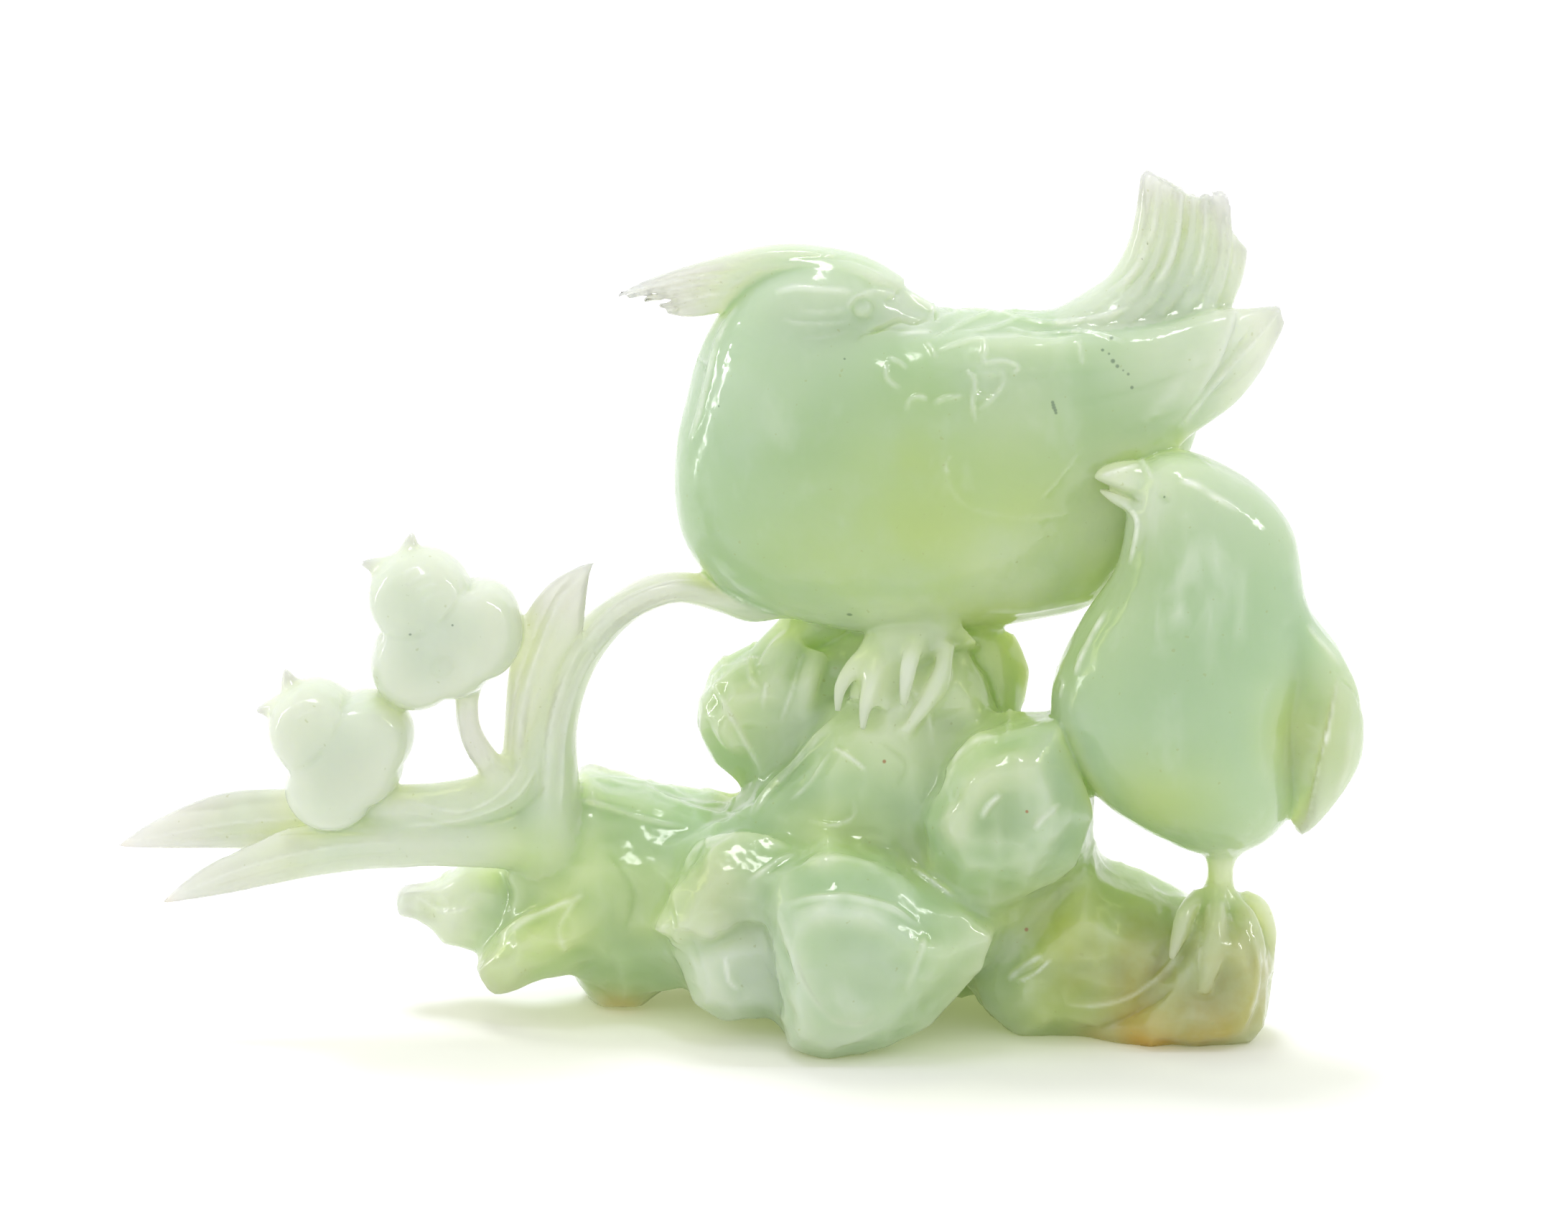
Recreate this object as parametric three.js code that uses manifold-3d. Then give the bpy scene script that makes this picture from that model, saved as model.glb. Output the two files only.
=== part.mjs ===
// Carving of two birds on rockwork, cut from one block of pale green translucent jade.
// A large crested bird looks back over its raised tail, a small bird stands in front of its flank,
// and a spray of long leaves with two lobed blossoms grows out of the rock on the left.
// Millimetres, +X to the viewer's right, -Y towards the viewer, +Z up. The origin is the middle of
// the underside, and the carving rests on the flat spots where its lowest rocks are ground off.
import * as THREE from 'three';
import { ConvexGeometry } from 'three/addons/geometries/ConvexGeometry.js';
import { mergeVertices } from 'three/addons/utils/BufferGeometryUtils.js';
import Module from 'manifold-3d';

const wasm = await Module();
wasm.setup();

// Driving dimensions
const LARGE_BIRD_Y = 7; // mid-plane of the large bird
const SMALL_BIRD_Y = -11; // mid-plane of the small bird
const BLOSSOM_Y = -5; // mid-plane of the two blossoms
const BLOSSOM_DEPTH = 9; // half depth of a blossom
const CREST_STRANDS = 5;
const TAIL_FEATHERS = 5;
const WING_COVERTS = 5;
const WING_PRIMARIES = 3;
const FAR_WING_DROP = 2.5; // the large bird leans away a little, so its far wing lies lower
const GROUND_CUT = 60; // depth of the slab that grinds the feet flat

// Resolution
const SLIM = { rings: 4, sides: 5 };
const STEM = { rings: 7, sides: 7 };
const BODY = { rings: 15, sides: 18, round: true };
const TINY = 0.06; // an end thinner than this closes in a point

const Y_AXIS = new THREE.Vector3(0, 1, 0);
const JADE = new THREE.MeshStandardMaterial({ color: '#b9d5ab', roughness: 0.14, metalness: 0 });

const mix = (a, b, t) => a + (b - a) * t;
const mixPoint = (a, b, t) => a.map((value, i) => mix(value, b[i], t));
const curveOf = (points) =>
  new THREE.CatmullRomCurve3(points.map((p) => new THREE.Vector3(...p)), false, 'catmullrom', 0.5);

// A profile carried along a path. A station is [x, y, z, half width, half depth], where the width lies
// across the path in the picture plane and the depth lies along Y. A round loft interpolates the squares
// of the half sizes, so that an end of no size closes like a ball; otherwise it closes like a spike.
function loft(stations, { rings = 10, sides = 10, round = false, slice = null } = {}) {
  const power = round ? 2 : 1;
  const path = curveOf(stations.map(([x, y, z]) => [x, y, z]));
  const sizes = curveOf(stations.map((s) => [s[3] ** power, s[4] ** power, 0]));
  const positions = [];
  const ringAt = [];
  for (let i = 0; i <= rings; i++) {
    const t = round ? (1 - Math.cos((Math.PI * i) / rings)) / 2 : i / rings;
    const centre = path.getPoint(t);
    const along = slice ? new THREE.Vector3(...slice) : path.getTangent(t);
    const across = new THREE.Vector3().crossVectors(Y_AXIS, along).normalize();
    const deep = new THREE.Vector3().crossVectors(along, across);
    const size = sizes.getPoint(t);
    const wide = Math.max(size.x, 0) ** (1 / power);
    const depth = Math.max(size.y, 0) ** (1 / power);
    const isEnd = i === 0 || i === rings;
    const isPoint = isEnd && wide < TINY + 0.3;
    ringAt.push({ first: positions.length / 3, isPoint });
    if (isEnd) positions.push(...centre.toArray());
    if (isPoint) continue;
    for (let j = 0; j < sides; j++) {
      const angle = (2 * Math.PI * j) / sides;
      const point = centre
        .clone()
        .addScaledVector(across, wide * Math.cos(angle))
        .addScaledVector(deep, depth * Math.sin(angle));
      positions.push(...point.toArray());
    }
  }
  const corner = (i, j) => {
    const { first, isPoint } = ringAt[i];
    const hasCentre = i === 0 || i === rings;
    return isPoint ? first : first + (hasCentre ? 1 : 0) + (j % sides);
  };
  const index = [];
  for (let j = 0; j < sides; j++) {
    if (!ringAt[0].isPoint) index.push(ringAt[0].first, corner(0, j + 1), corner(0, j));
    if (!ringAt[rings].isPoint) index.push(ringAt[rings].first, corner(rings, j), corner(rings, j + 1));
    for (let i = 0; i < rings; i++) {
      const [a, b, c, d] = [corner(i, j), corner(i, j + 1), corner(i + 1, j + 1), corner(i + 1, j)];
      if (!ringAt[i].isPoint) index.push(a, b, c);
      if (!ringAt[i + 1].isPoint) index.push(a, c, d);
    }
  }
  return new THREE.BufferGeometry()
    .setAttribute('position', new THREE.Float32BufferAttribute(positions, 3))
    .setIndex(index);
}

// Feathers side by side in one sheet between an upper and a lower guide curve. Each lane is one feather:
// its middle stands proud and its edges are sunk by the groove. The lengths are each lane's share of the
// guides, from the upper to the lower one, and the depths are the half thickness at root and at tip,
// with a backing for the side along +Y or -Y that is let into a body.
function featherSheet(upper, lower, options) {
  const { lanes, lengths, depths, groove = 0.35, rings = 7, backing = depths, backSide = 1 } = options;
  const top = curveOf(upper);
  const bottom = curveOf(lower);
  const columns = Array.from({ length: 2 * lanes + 1 }, (_, k) => k);
  const profile = [
    ...columns.map((k) => ({ k, side: -1 })),
    ...columns.slice(1, -1).reverse().map((k) => ({ k, side: 1 })),
  ];
  const lengthAt = (k) => {
    const lane = Math.min(lanes - 1, Math.floor(k / 2));
    const next = k % 2 === 0 && k > 0 ? lane - 1 : lane;
    return (lengths[lane] + lengths[Math.max(0, next)]) / 2;
  };
  const positions = [];
  for (let i = 0; i <= rings; i++) {
    for (const { k, side } of profile) {
      const share = k / (2 * lanes);
      const t = (i / rings) * lengthAt(k);
      const point = top.getPoint(t).lerp(bottom.getPoint(t), share);
      const [root, tip] = side === backSide ? backing : depths;
      const proud = k % 2 === 1 || side === backSide ? 1 : 1 - groove;
      const rim = Math.sqrt(Math.max(0, 1 - (2 * share - 1) ** 4));
      point.y += side * mix(root, tip, i / rings) * proud * rim;
      positions.push(...point.toArray());
    }
  }
  return closedTube(positions, rings, profile.length);
}

// Six times the volume inside a closed skin, below zero when its faces point inwards
function signedVolume(positions, index) {
  const at = (i) => new THREE.Vector3(...positions.slice(3 * i, 3 * i + 3));
  let sum = 0;
  for (let i = 0; i < index.length; i += 3) {
    sum += at(index[i]).dot(at(index[i + 1]).cross(at(index[i + 2])));
  }
  return sum;
}

// The skin over equal rings of corners, closed at both ends by a fan from the middle of the ring
function closedTube(positions, rings, sides) {
  const index = [];
  const corner = (i, j) => i * sides + (j % sides);
  for (let i = 0; i < rings; i++) {
    for (let j = 0; j < sides; j++) {
      index.push(corner(i, j), corner(i, j + 1), corner(i + 1, j + 1));
      index.push(corner(i, j), corner(i + 1, j + 1), corner(i + 1, j));
    }
  }
  for (const i of [0, rings]) {
    const middle = positions.length / 3;
    const ring = positions.slice(i * sides * 3, (i + 1) * sides * 3);
    const sumOf = (axis) => ring.reduce((sum, value, n) => (n % 3 === axis ? sum + value : sum), 0);
    positions.push(...[0, 1, 2].map((axis) => sumOf(axis) / sides));
    for (let j = 0; j < sides; j++) {
      const [a, b] = i === 0 ? [corner(i, j + 1), corner(i, j)] : [corner(i, j), corner(i, j + 1)];
      index.push(middle, a, b);
    }
  }
  if (signedVolume(positions, index) < 0) index.reverse();
  return new THREE.BufferGeometry()
    .setAttribute('position', new THREE.Float32BufferAttribute(positions, 3))
    .setIndex(index);
}

// A pillow with a lobed outline in the picture plane. The lobes are [x, z, half width, half height], and
// the outline is the farthest edge of any lobe seen from the middle.
function lobedPillow([cx, cz], y, lobes, depth) {
  const sides = 19;
  const rings = 6;
  const reachOf = (angle) => {
    const [dx, dz] = [Math.cos(angle), Math.sin(angle)];
    return lobes.reduce((far, [x, z, rx, rz]) => {
      const [ox, oz] = [(cx - x) / rx, (cz - z) / rz];
      const [ux, uz] = [dx / rx, dz / rz];
      const a = ux * ux + uz * uz;
      const b = ox * ux + oz * uz;
      const c = ox * ox + oz * oz - 1;
      const root = b * b - a * c;
      return root < 0 ? far : Math.max(far, (-b + Math.sqrt(root)) / a);
    }, 0);
  };
  const positions = [];
  for (let i = 0; i <= rings; i++) {
    const latitude = Math.PI * (0.06 + (0.88 * i) / rings);
    for (let j = 0; j < sides; j++) {
      const angle = (-2 * Math.PI * j) / sides;
      const reach = reachOf(angle) * Math.sin(latitude) ** 0.8;
      const [dx, dz] = [Math.cos(angle), Math.sin(angle)];
      positions.push(cx + reach * dx, y - depth * Math.cos(latitude), cz + reach * dz);
    }
  }
  return closedTube(positions, rings, sides);
}

// A convex boulder through four upright rings of corners, from its front face to its back face. The
// second and third ring carry the outline; the two faces are the outline drawn in towards its middle.
function boulder(outline, y, front, back, { face = 0.55, lean = [0, 0] } = {}) {
  const middle = outline.reduce((sum, [x, z]) => [sum[0] + x, sum[1] + z], [0, 0]);
  const [cx, cz] = middle.map((value) => value / outline.length);
  const rings = [
    [y - front, face, 1],
    [y - 0.5 * front, 0.93, 0.3],
    [y + 0.35 * back, 1, 0],
    [y + back, face + 0.1, -0.5],
  ];
  const drawnIn = (value, centre, scale, shift) => centre + (value - centre) * scale + shift;
  const corners = rings.flatMap(([ringY, scale, shift]) =>
    outline.map(([x, z]) => {
      const cornerX = drawnIn(x, cx, scale, lean[0] * shift);
      const cornerZ = drawnIn(z, cz, scale, lean[1] * shift);
      return new THREE.Vector3(cornerX, ringY, cornerZ);
    }),
  );
  return new ConvexGeometry(corners);
}

// A rock that no edge of the photograph fixes: a rough polygon around an ellipse
function roughOutline([x, z], [wide, high], seed) {
  const corners = 8;
  return Array.from({ length: corners }, (_, i) => {
    const noise = Math.abs(Math.sin(seed * 12.9898 + i * 78.233) * 43758.5453) % 1;
    const angle = (2 * Math.PI * (i + 0.5 * noise)) / corners;
    const reach = mix(0.86, 1.08, (noise * 7) % 1);
    return [x + wide * reach * Math.cos(angle), z + high * reach * Math.sin(angle)];
  });
}

// The same form on the far side of a mid-plane
function mirrored(stations, midY) {
  return stations.map(([x, y, z, wide, deep]) => [x, 2 * midY - y, z, wide, deep]);
}

function largeBird() {
  const y = LARGE_BIRD_Y;
  const body = [
    [-10.9, y, 86.9, 0, 0],
    [-8.6, y, 87, 12, 10],
    [-2.6, y, 88.6, 20, 16],
    [6.6, y, 89.3, 24.8, 20.5],
    [19.2, y, 88.9, 27.1, 22.5],
    [33, y, 88, 26.1, 22],
    [45.6, y, 88.6, 25, 19.5],
    [57.1, y, 89.7, 23.2, 15],
    [65.1, y, 95, 17, 11],
    [74, y, 101, 0, 0],
  ];
  const neck = [
    [6.6, y, 94.5, 13.8, 17],
    [5.2, y, 103.8, 11.9, 16],
    [7.5, y - 1, 112.1, 10.1, 13],
    [13.4, y - 2, 116.6, 7.1, 10.5],
    [19.7, y - 2, 116.6, 5.7, 8.5],
    [24.6, y - 2, 115.2, 3.4, 5.5],
    [26.8, y - 2, 114.3, 0, 0],
  ];
  const upperBeak = [
    [22, y - 2, 116.3, 3.6, 5],
    [25.4, y - 2, 115.6, 2.5, 3.4],
    [28.2, y - 2, 114.8, 1.5, 2.2],
    [30.2, y - 2, 114.2, 0.9, 1.4],
  ];
  const lowerBeak = [
    [20.3, y - 2, 109.9, 1.8, 4],
    [24.8, y - 2, 110.7, 1.4, 3],
    [28.3, y - 2, 110.6, 0.8, 2],
    [30.9, y - 2, 110.3, 0.4, 1],
  ];
  return [
    loft(body, { ...BODY, slice: [1, 0, 0] }),
    loft(neck, { rings: 10, sides: 12, round: true }),
    loft(upperBeak, SLIM),
    loft(lowerBeak, SLIM),
  ];
}

// A thin sheet of feathers swept back from the forehead, ending in separate strands
function crest() {
  const y = LARGE_BIRD_Y - 2;
  const upper = [
    [25, y, 118.4],
    [19.7, y, 121.9],
    [13.4, y, 123.5],
    [5.4, y, 123.6],
    [-3.7, y, 122],
    [-12.8, y, 119.6],
    [-19.9, y, 116.9],
  ];
  const lower = [
    [24.3, y, 116.1],
    [16.8, y, 118.4],
    [8.9, y, 118.4],
    [2.1, y, 116.8],
    [-3.1, y, 114.6],
    [-7.6, y, 113.6],
    [-11.6, y, 114.1],
  ];
  return [
    featherSheet(upper, lower, {
      lanes: CREST_STRANDS, lengths: [1, 0.97, 1.05, 0.95, 1], depths: [7, 1.6], groove: 0.3,
    }),
  ];
}

// Long feathers side by side, curving up from the rump, with stepped ends
function tail() {
  const y = LARGE_BIRD_Y;
  const upper = [
    [46.5, y, 110.7],
    [53.5, y, 115.9],
    [58.6, y, 119.7],
    [61.9, y, 126.3],
    [63.3, y, 136.7],
  ];
  const lower = [
    [65, y, 103.8],
    [72.9, y, 109.5],
    [78.1, y, 115.9],
    [79.6, y, 122.8],
    [79.1, y, 132.9],
  ];
  return [
    featherSheet(upper, lower, {
      lanes: TAIL_FEATHERS, lengths: [1, 0.96, 0.95, 0.98, 1], depths: [7, 2.8], rings: 8,
    }),
  ];
}

// Each folded wing: the coverts over the flank, and the longer primaries behind and below them
function largeWings() {
  const covertsTop = [
    [24.5, -8, 108.5],
    [33.5, -9.5, 110.2],
    [47.1, -8.5, 111],
    [64.1, -6, 112],
    [78.1, -3, 115.3],
  ];
  const covertsLow = [
    [23.2, -9.5, 104],
    [30.2, -13, 94.4],
    [38.2, -13.5, 86.9],
    [50.6, -11, 87.7],
    [62, -8, 92.7],
    [70.1, -5, 96.7],
  ];
  const primariesTop = [
    [50, -2, 106.5],
    [66.6, -3, 111.3],
    [78.1, 0, 114.9],
    [82.2, 1.5, 115.4],
    [85.5, 3, 115.4],
  ];
  const primariesLow = [
    [50, -3, 88],
    [64.3, -5, 92.5],
    [75.9, -1, 98.5],
    [82, 1, 105],
    [86.4, 3, 113],
  ];
  const opposite = (guide) => guide.map(([x, y, z]) => [x, 2 * LARGE_BIRD_Y - y, z - FAR_WING_DROP]);
  const coverts = {
    lanes: WING_COVERTS, lengths: [1, 1, 0.97, 0.98, 0.96], depths: [4, 3], backing: [12, 3],
  };
  const primaries = {
    lanes: WING_PRIMARIES, lengths: [1, 0.98, 0.99], depths: [4, 1.6], backing: [11, 1.6],
  };
  return [
    featherSheet(covertsTop, covertsLow, coverts),
    featherSheet(opposite(covertsTop), opposite(covertsLow), { ...coverts, backSide: -1 }),
    featherSheet(primariesTop, primariesLow, primaries),
    featherSheet(opposite(primariesTop), opposite(primariesLow), { ...primaries, backSide: -1 }),
  ];
}

function smallBird() {
  const y = SMALL_BIRD_Y;
  const body = [
    [68.6, y, 94.2, 0, 0],
    [69.3, y, 92.3, 6.1, 7.5],
    [71.9, y, 87.4, 11, 11],
    [73.7, y, 81.7, 13.4, 13],
    [73.5, y, 74.8, 14.9, 14.5],
    [71.4, y, 66.7, 18, 16.5],
    [69.5, y, 58.5, 19.8, 18],
    [68.6, y, 51.5, 19.4, 18.3],
    [69.8, y, 44.5, 17.7, 17.5],
    [72.2, y, 38.1, 14.8, 14.5],
    [75.2, y, 32.8, 9.3, 9.5],
    [75.1, y, 29.6, 0, 0],
  ];
  const upperBeak = [
    [66.4, y, 89.2, 4, 6],
    [63, y, 90.1, 3, 4.4],
    [59.6, y, 90.7, 2.2, 3],
    [57, y, 90.7, 1.3, 1.8],
    [55.3, y, 90.2, 0, 0],
  ];
  const lowerBeak = [
    [65.8, y, 84.4, 3, 5],
    [62, y, 86.2, 1.9, 3.4],
    [58.4, y, 87.6, 1.1, 2],
    [55.9, y, 88.5, 0, 0],
  ];
  const wing = [
    [87.2, -18, 65.6, 1.2, 3],
    [89.6, -19.5, 61, 4.4, 5.5],
    [91.4, -20.5, 54.9, 7, 6.5],
    [91.4, -20, 48.4, 6.8, 6],
    [91.2, -18.5, 41.7, 4.5, 4.5],
    [90.4, -16, 35.8, 1.8, 2.5],
    [90, -14.5, 32.5, 0, 0],
  ];
  const tailFan = [
    [87.3, y, 56.2, 6.8, 8],
    [91.8, y, 49.2, 7.1, 8],
    [90.6, y, 42.2, 5.6, 6],
    [89.2, y, 37.5, 3, 3],
    [88.8, y, 34.5, 0, 0],
  ];
  return [
    loft(body, { ...BODY, rings: 14, sides: 16, slice: [0, 0, -1] }),
    loft(upperBeak, SLIM),
    loft(lowerBeak, SLIM),
    loft(wing, STEM),
    loft(mirrored(wing, y), STEM),
    loft(tailFan, STEM),
  ];
}

// A toe runs from the ankle over a knuckle to the claw's tip.
function toe(ankle, knuckle, bend, tip, thick = 1.6) {
  return loft(
    [
      [...ankle, thick * 1.2, thick * 1.2],
      [...knuckle, thick * 1.25, thick * 1.25],
      [...bend, thick, thick],
      [...tip, 0, 0],
    ],
    SLIM,
  );
}

function legs() {
  const smallLeg = [
    [76.5, -11, 32.2, 4.8, 6],
    [76.3, -11, 28.7, 2.5, 3.6],
    [76.3, -11, 25.5, 2.1, 3],
    [76, -11, 22.2, 3.2, 4],
    [75.3, -11, 17.4, 5.7, 7],
  ];
  const nearLeg = [
    [29.5, 2, 66.2, 10.3, 8],
    [26.3, 0, 61.9, 7.1, 6],
    [23.2, -2, 57.1, 5, 5],
    [20.9, -4, 51.7, 4.1, 5],
  ];
  const farLeg = [
    [13.5, 14, 63.6, 5.8, 6],
    [8.9, 13, 59.7, 4, 5],
    [4.2, 11, 55.4, 3.5, 5],
    [1.9, 10, 50.3, 3, 4],
  ];
  const spurLeg = [
    [37.5, 6, 66.5, 5.4, 6],
    [38.2, 6, 61.2, 4, 5],
    [40.6, 5, 57.3, 4, 4.5],
    [41.6, 4, 52.8, 3.3, 4],
    [42, 3, 47.1, 3, 4],
  ];
  return [smallLeg, nearLeg, farLeg, spurLeg].map((s) => loft(s, { rings: 7, sides: 7 }));
}

function toes() {
  return [
    toe([72.8, -14, 22.9], [70.3, -19, 21.4], [69, -22, 18.2], [67.9, -24, 15.2]),
    toe([75.6, -15, 22.6], [75, -21, 20.1], [74.3, -24.5, 15.2], [73.1, -25, 10.2]),
    toe([78.1, -14, 22], [80.4, -17, 19.6], [81.2, -20, 15.2], [80.6, -22, 10.4]),
    toe([20.8, -4, 60.9], [17.9, -7, 58.7], [15.8, -9, 55.7], [15.3, -10, 51.9]),
    toe([22, -4, 59.7], [20.9, -9, 57.4], [19.7, -11, 53.2], [19.2, -12, 49.6]),
    toe([28.2, -5, 62.8], [26.8, -10, 60.4], [26.1, -11, 56.6], [25.7, -11, 53.5]),
    toe([32.7, -6, 61.9], [31.8, -9, 57.9], [29.3, -11, 53.3], [26.1, -12, 49.3]),
    toe([9.3, 8, 60.8], [5.9, 5, 59.1], [4.5, 4, 57.7], [3.2, 3, 56.9]),
    toe([8.7, 6, 58.9], [5.4, 2, 55.2], [4.4, 1.5, 52.4], [3.5, 1, 49.9]),
    toe([42.5, 5, 60.5], [43.9, 4, 57.6], [45.2, 3, 55.4], [44.8, 3, 51], 1.2),
    toe([12.2, 5, 57.9], [10.8, 1, 54.8], [10, 0.5, 52.2], [9.4, 0, 49.7]),
  ];
}

function rocks() {
  const visible = [
    boulder(
      [[4.6, 24.3], [6, 28.4], [13.4, 33.6], [22.4, 31.9], [33.8, 22.9], [42, 20.2], [40.1, 14.9],
        [31.5, 5], [24, 0.8], [13.4, -2.5], [7.1, 0.5]],
      -19, 13, 14, { face: 0.62, lean: [-3, -1] },
    ),
    boulder(
      [[-14.8, 17.5], [-8.8, 27.7], [-5.4, 31.9], [-0.8, 33.5], [6, 33], [11.1, 30.9], [10, 23.6],
        [4.9, 20.3], [-8.3, 15.9]],
      -12, 10, 14, { face: 0.6, lean: [0, -1] },
    ),
    boulder(
      [[-11.2, 13.4], [-8.3, 15.6], [-2, 18.4], [4.9, 20.5], [8.9, 16], [8.9, 4.1], [-2.6, 2],
        [-8, 5]],
      -10, 9, 14,
    ),
    boulder(
      [[1, 34.1], [14.9, 49.4], [20.9, 49.7], [30.1, 39.1], [25.6, 26], [11.2, 27.8], [3.1, 30.5]],
      -3, 10, 14, { face: 0.45, lean: [2, -3] },
    ),
    boulder(
      [[18.7, 52.8], [23.3, 59.3], [30.8, 61.7], [36.5, 60.5], [40.6, 55.2], [42.4, 48.1],
        [40.7, 40.9], [29.7, 33.8], [19.3, 38.6]],
      4, 12, 14,
    ),
    boulder(
      [[28.3, 35.6], [33.8, 46.4], [37.8, 49.7], [42, 51.3], [51.1, 52.8], [56.7, 38], [54.7, 27.8],
        [51.1, 25.3], [38.6, 21.3], [32.8, 22.7], [28.8, 29.8]],
      -13, 13, 16, { lean: [-1, 2] },
    ),
    boulder(
      [[36.6, 6.9], [42.3, 16.1], [46.9, 20], [54.9, 27.7], [62.4, 23.6], [72.2, 19.2], [71.2, 11.1],
        [65.5, 2.7], [57.5, -2], [42.4, -2], [38.9, 2.7]],
      -5, 14, 16,
    ),
    boulder(
      [[71.2, 21], [80.7, 21], [83.5, 16.8], [85.1, 11.2], [84, 4.7], [82, -1], [69.8, -3], [59.8, -1.9],
        [57.1, 0.3], [60.5, 4.7], [67.3, 13]],
      -12, 11, 13, { face: 0.6, lean: [1, 1] },
    ),
    boulder(
      [[-7.6, 45], [-6.8, 49.2], [-3.9, 54.6], [1.9, 57.5], [10.1, 58.1], [17, 54.6], [18.2, 46.2],
        [3.3, 32.1], [-5.7, 40.8]],
      12, 11, 11,
    ),
    boulder(
      [[-26.8, 4.2], [-23.2, 12.4], [-15.6, 13.6], [-12.7, 6.3], [-15.7, -1], [-24.5, -1.5]],
      8, 8, 12, { face: 0.7 },
    ),
    boulder(
      [[-43.2, 8.1], [-39.7, 12.6], [-31.5, 19.7], [-25.5, 23.9], [-20.9, 21.9], [-22.5, 15.3],
        [-27, 8.7], [-40.3, 3.9]],
      -3, 7, 11, { face: 0.5 },
    ),
    boulder(
      [[-38.7, 24.5], [-31.7, 29.3], [-25.6, 33.8], [-15.4, 30], [-3, 29.5], [-5.6, 19.7],
        [-8.6, 7.1], [-12.1, 4.1], [-19.1, 2], [-36.4, 13.7]],
      3, 11, 14, { face: 0.5 },
    ),
    boulder(
      [[-45.9, 20.8], [-42.1, 22.8], [-38.6, 21.9], [-35.4, 18.1], [-37.2, 12.6], [-41.1, 9.4],
        [-49.2, 9.5], [-50.6, 12.6]],
      7, 6, 7,
    ),
    boulder(
      [[-56.3, 16.9], [-55.6, 18], [-44.8, 21.2], [-41.3, 16.9], [-44.9, 12.1], [-52.3, 13.8],
        [-56.1, 14.5]],
      9, 4, 4, { face: 0.8 },
    ),
    boulder(
      [[-27.1, 37.4], [-24.6, 37.8], [-19, 36.3], [-12, 33.3], [-6.2, 31.2], [-15.6, 28], [-25.8, 32.6]],
      8, 8, 9, { face: 0.8 },
    ),
    boulder(
      [[-12, 33.3], [-6.2, 31.2], [1.7, 30.7], [3.1, 28], [-8.6, 27.1], [-15.6, 28]],
      8, 8, 9, { face: 0.8 },
    ),
  ];
  const hidden = [
    boulder(roughOutline([14, 18], [24, 18], 1), 8, 14, 12),
    boulder(roughOutline([2, 13], [19, 14], 2), 17, 10, 10),
    boulder(roughOutline([34, 14], [20, 17], 3), 15, 12, 14),
    boulder(roughOutline([23, 36], [17, 16], 4), 15, 8, 12),
    boulder(roughOutline([43, 34], [11, 14], 5), 5, 10, 15),
    boulder(roughOutline([60, 8], [14, 11], 6), 8, 10, 12),
    boulder(roughOutline([23, 54], [16, 11], 7), 14, 7, 9),
  ];
  return [...visible, ...hidden];
}

function leaves() {
  const uprightLeaf = [
    [-35.8, -1, 37.4, 2.8, 3.5],
    [-35.7, -1, 46.9, 2.3, 3],
    [-34.2, -1, 55.7, 3.2, 2.6],
    [-31.4, -2, 63.5, 3.9, 2.2],
    [-28.6, -3, 69.6, 3, 1.7],
    [-25.1, -4, 73.7, 1.3, 1],
    [-23.1, -4, 75.3, 0, 0],
  ];
  const longLeaf = [
    [-33.3, 0, 31.2, 6.5, 6],
    [-45.4, 0, 31.5, 6, 5],
    [-59.2, 0, 31.7, 5.8, 4],
    [-73.2, 1, 31.9, 5.3, 3.2],
    [-83.1, 2, 31.5, 4.6, 2.6],
    [-92.5, 3, 29.4, 2.8, 1.9],
    [-101.6, 4, 26.6, 0, 0],
  ];
  const forkLeaf = [
    [-36.1, -2, 29.9, 5.1, 6],
    [-49.9, -3, 30.2, 4.8, 5],
    [-64.8, -4, 29, 4.4, 4],
    [-76.2, -6, 26.6, 3.6, 3],
    [-85.3, -7, 23.7, 2.4, 2],
    [-93.5, -8, 20.1, 0, 0],
  ];
  return [uprightLeaf, longLeaf, forkLeaf].map((s) => loft(s, { rings: 9, sides: 6 }));
}

function stems() {
  const arch = [
    [-31.4, 1, 28.6, 6.7, 8],
    [-30.9, 1, 38.1, 4.8, 6.5],
    [-30.1, 1, 47.6, 3.8, 5.5],
    [-27.4, 2, 56.2, 3.3, 5],
    [-23, 3, 62.8, 3, 4.6],
    [-17, 4, 67.4, 2.6, 4.4],
    [-10.1, 5, 69.3, 2.4, 4.4],
    [-3.2, 6, 67.9, 2.8, 5],
    [2, 7, 67.5, 4.2, 6],
  ];
  const upperStalk = [
    [-38.2, -4, 39.9, 2.3, 2.6],
    [-41, -4, 43.4, 2, 2.3],
    [-43.3, -4, 47.8, 1.8, 2.2],
    [-43.8, -4, 52.3, 1.8, 2.2],
    [-43.3, -4, 56.4, 2.1, 2.6],
  ];
  const lowStalk = [
    [-56.1, -4, 35.8, 3, 4],
    [-47.4, -4, 35.5, 3.9, 4],
    [-39.4, -3, 37.3, 3.9, 4],
    [-34.3, -1, 42.1, 3, 4],
  ];
  return [loft(arch, { rings: 14, sides: 8 }), loft(upperStalk, STEM), loft(lowStalk, STEM)];
}

// A blossom with two pointed sepals
function blossom(middle, lobes, sepals) {
  const points = sepals.map(([from, bend, tip]) =>
    loft(
      [
        [from[0], BLOSSOM_Y, from[1], 1.8, 3],
        [bend[0], BLOSSOM_Y, bend[1], 1.4, 2.2],
        [tip[0], BLOSSOM_Y, tip[1], 0, 0],
      ],
      SLIM,
    ),
  );
  return [lobedPillow(middle, BLOSSOM_Y, lobes, BLOSSOM_DEPTH), ...points];
}

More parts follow.
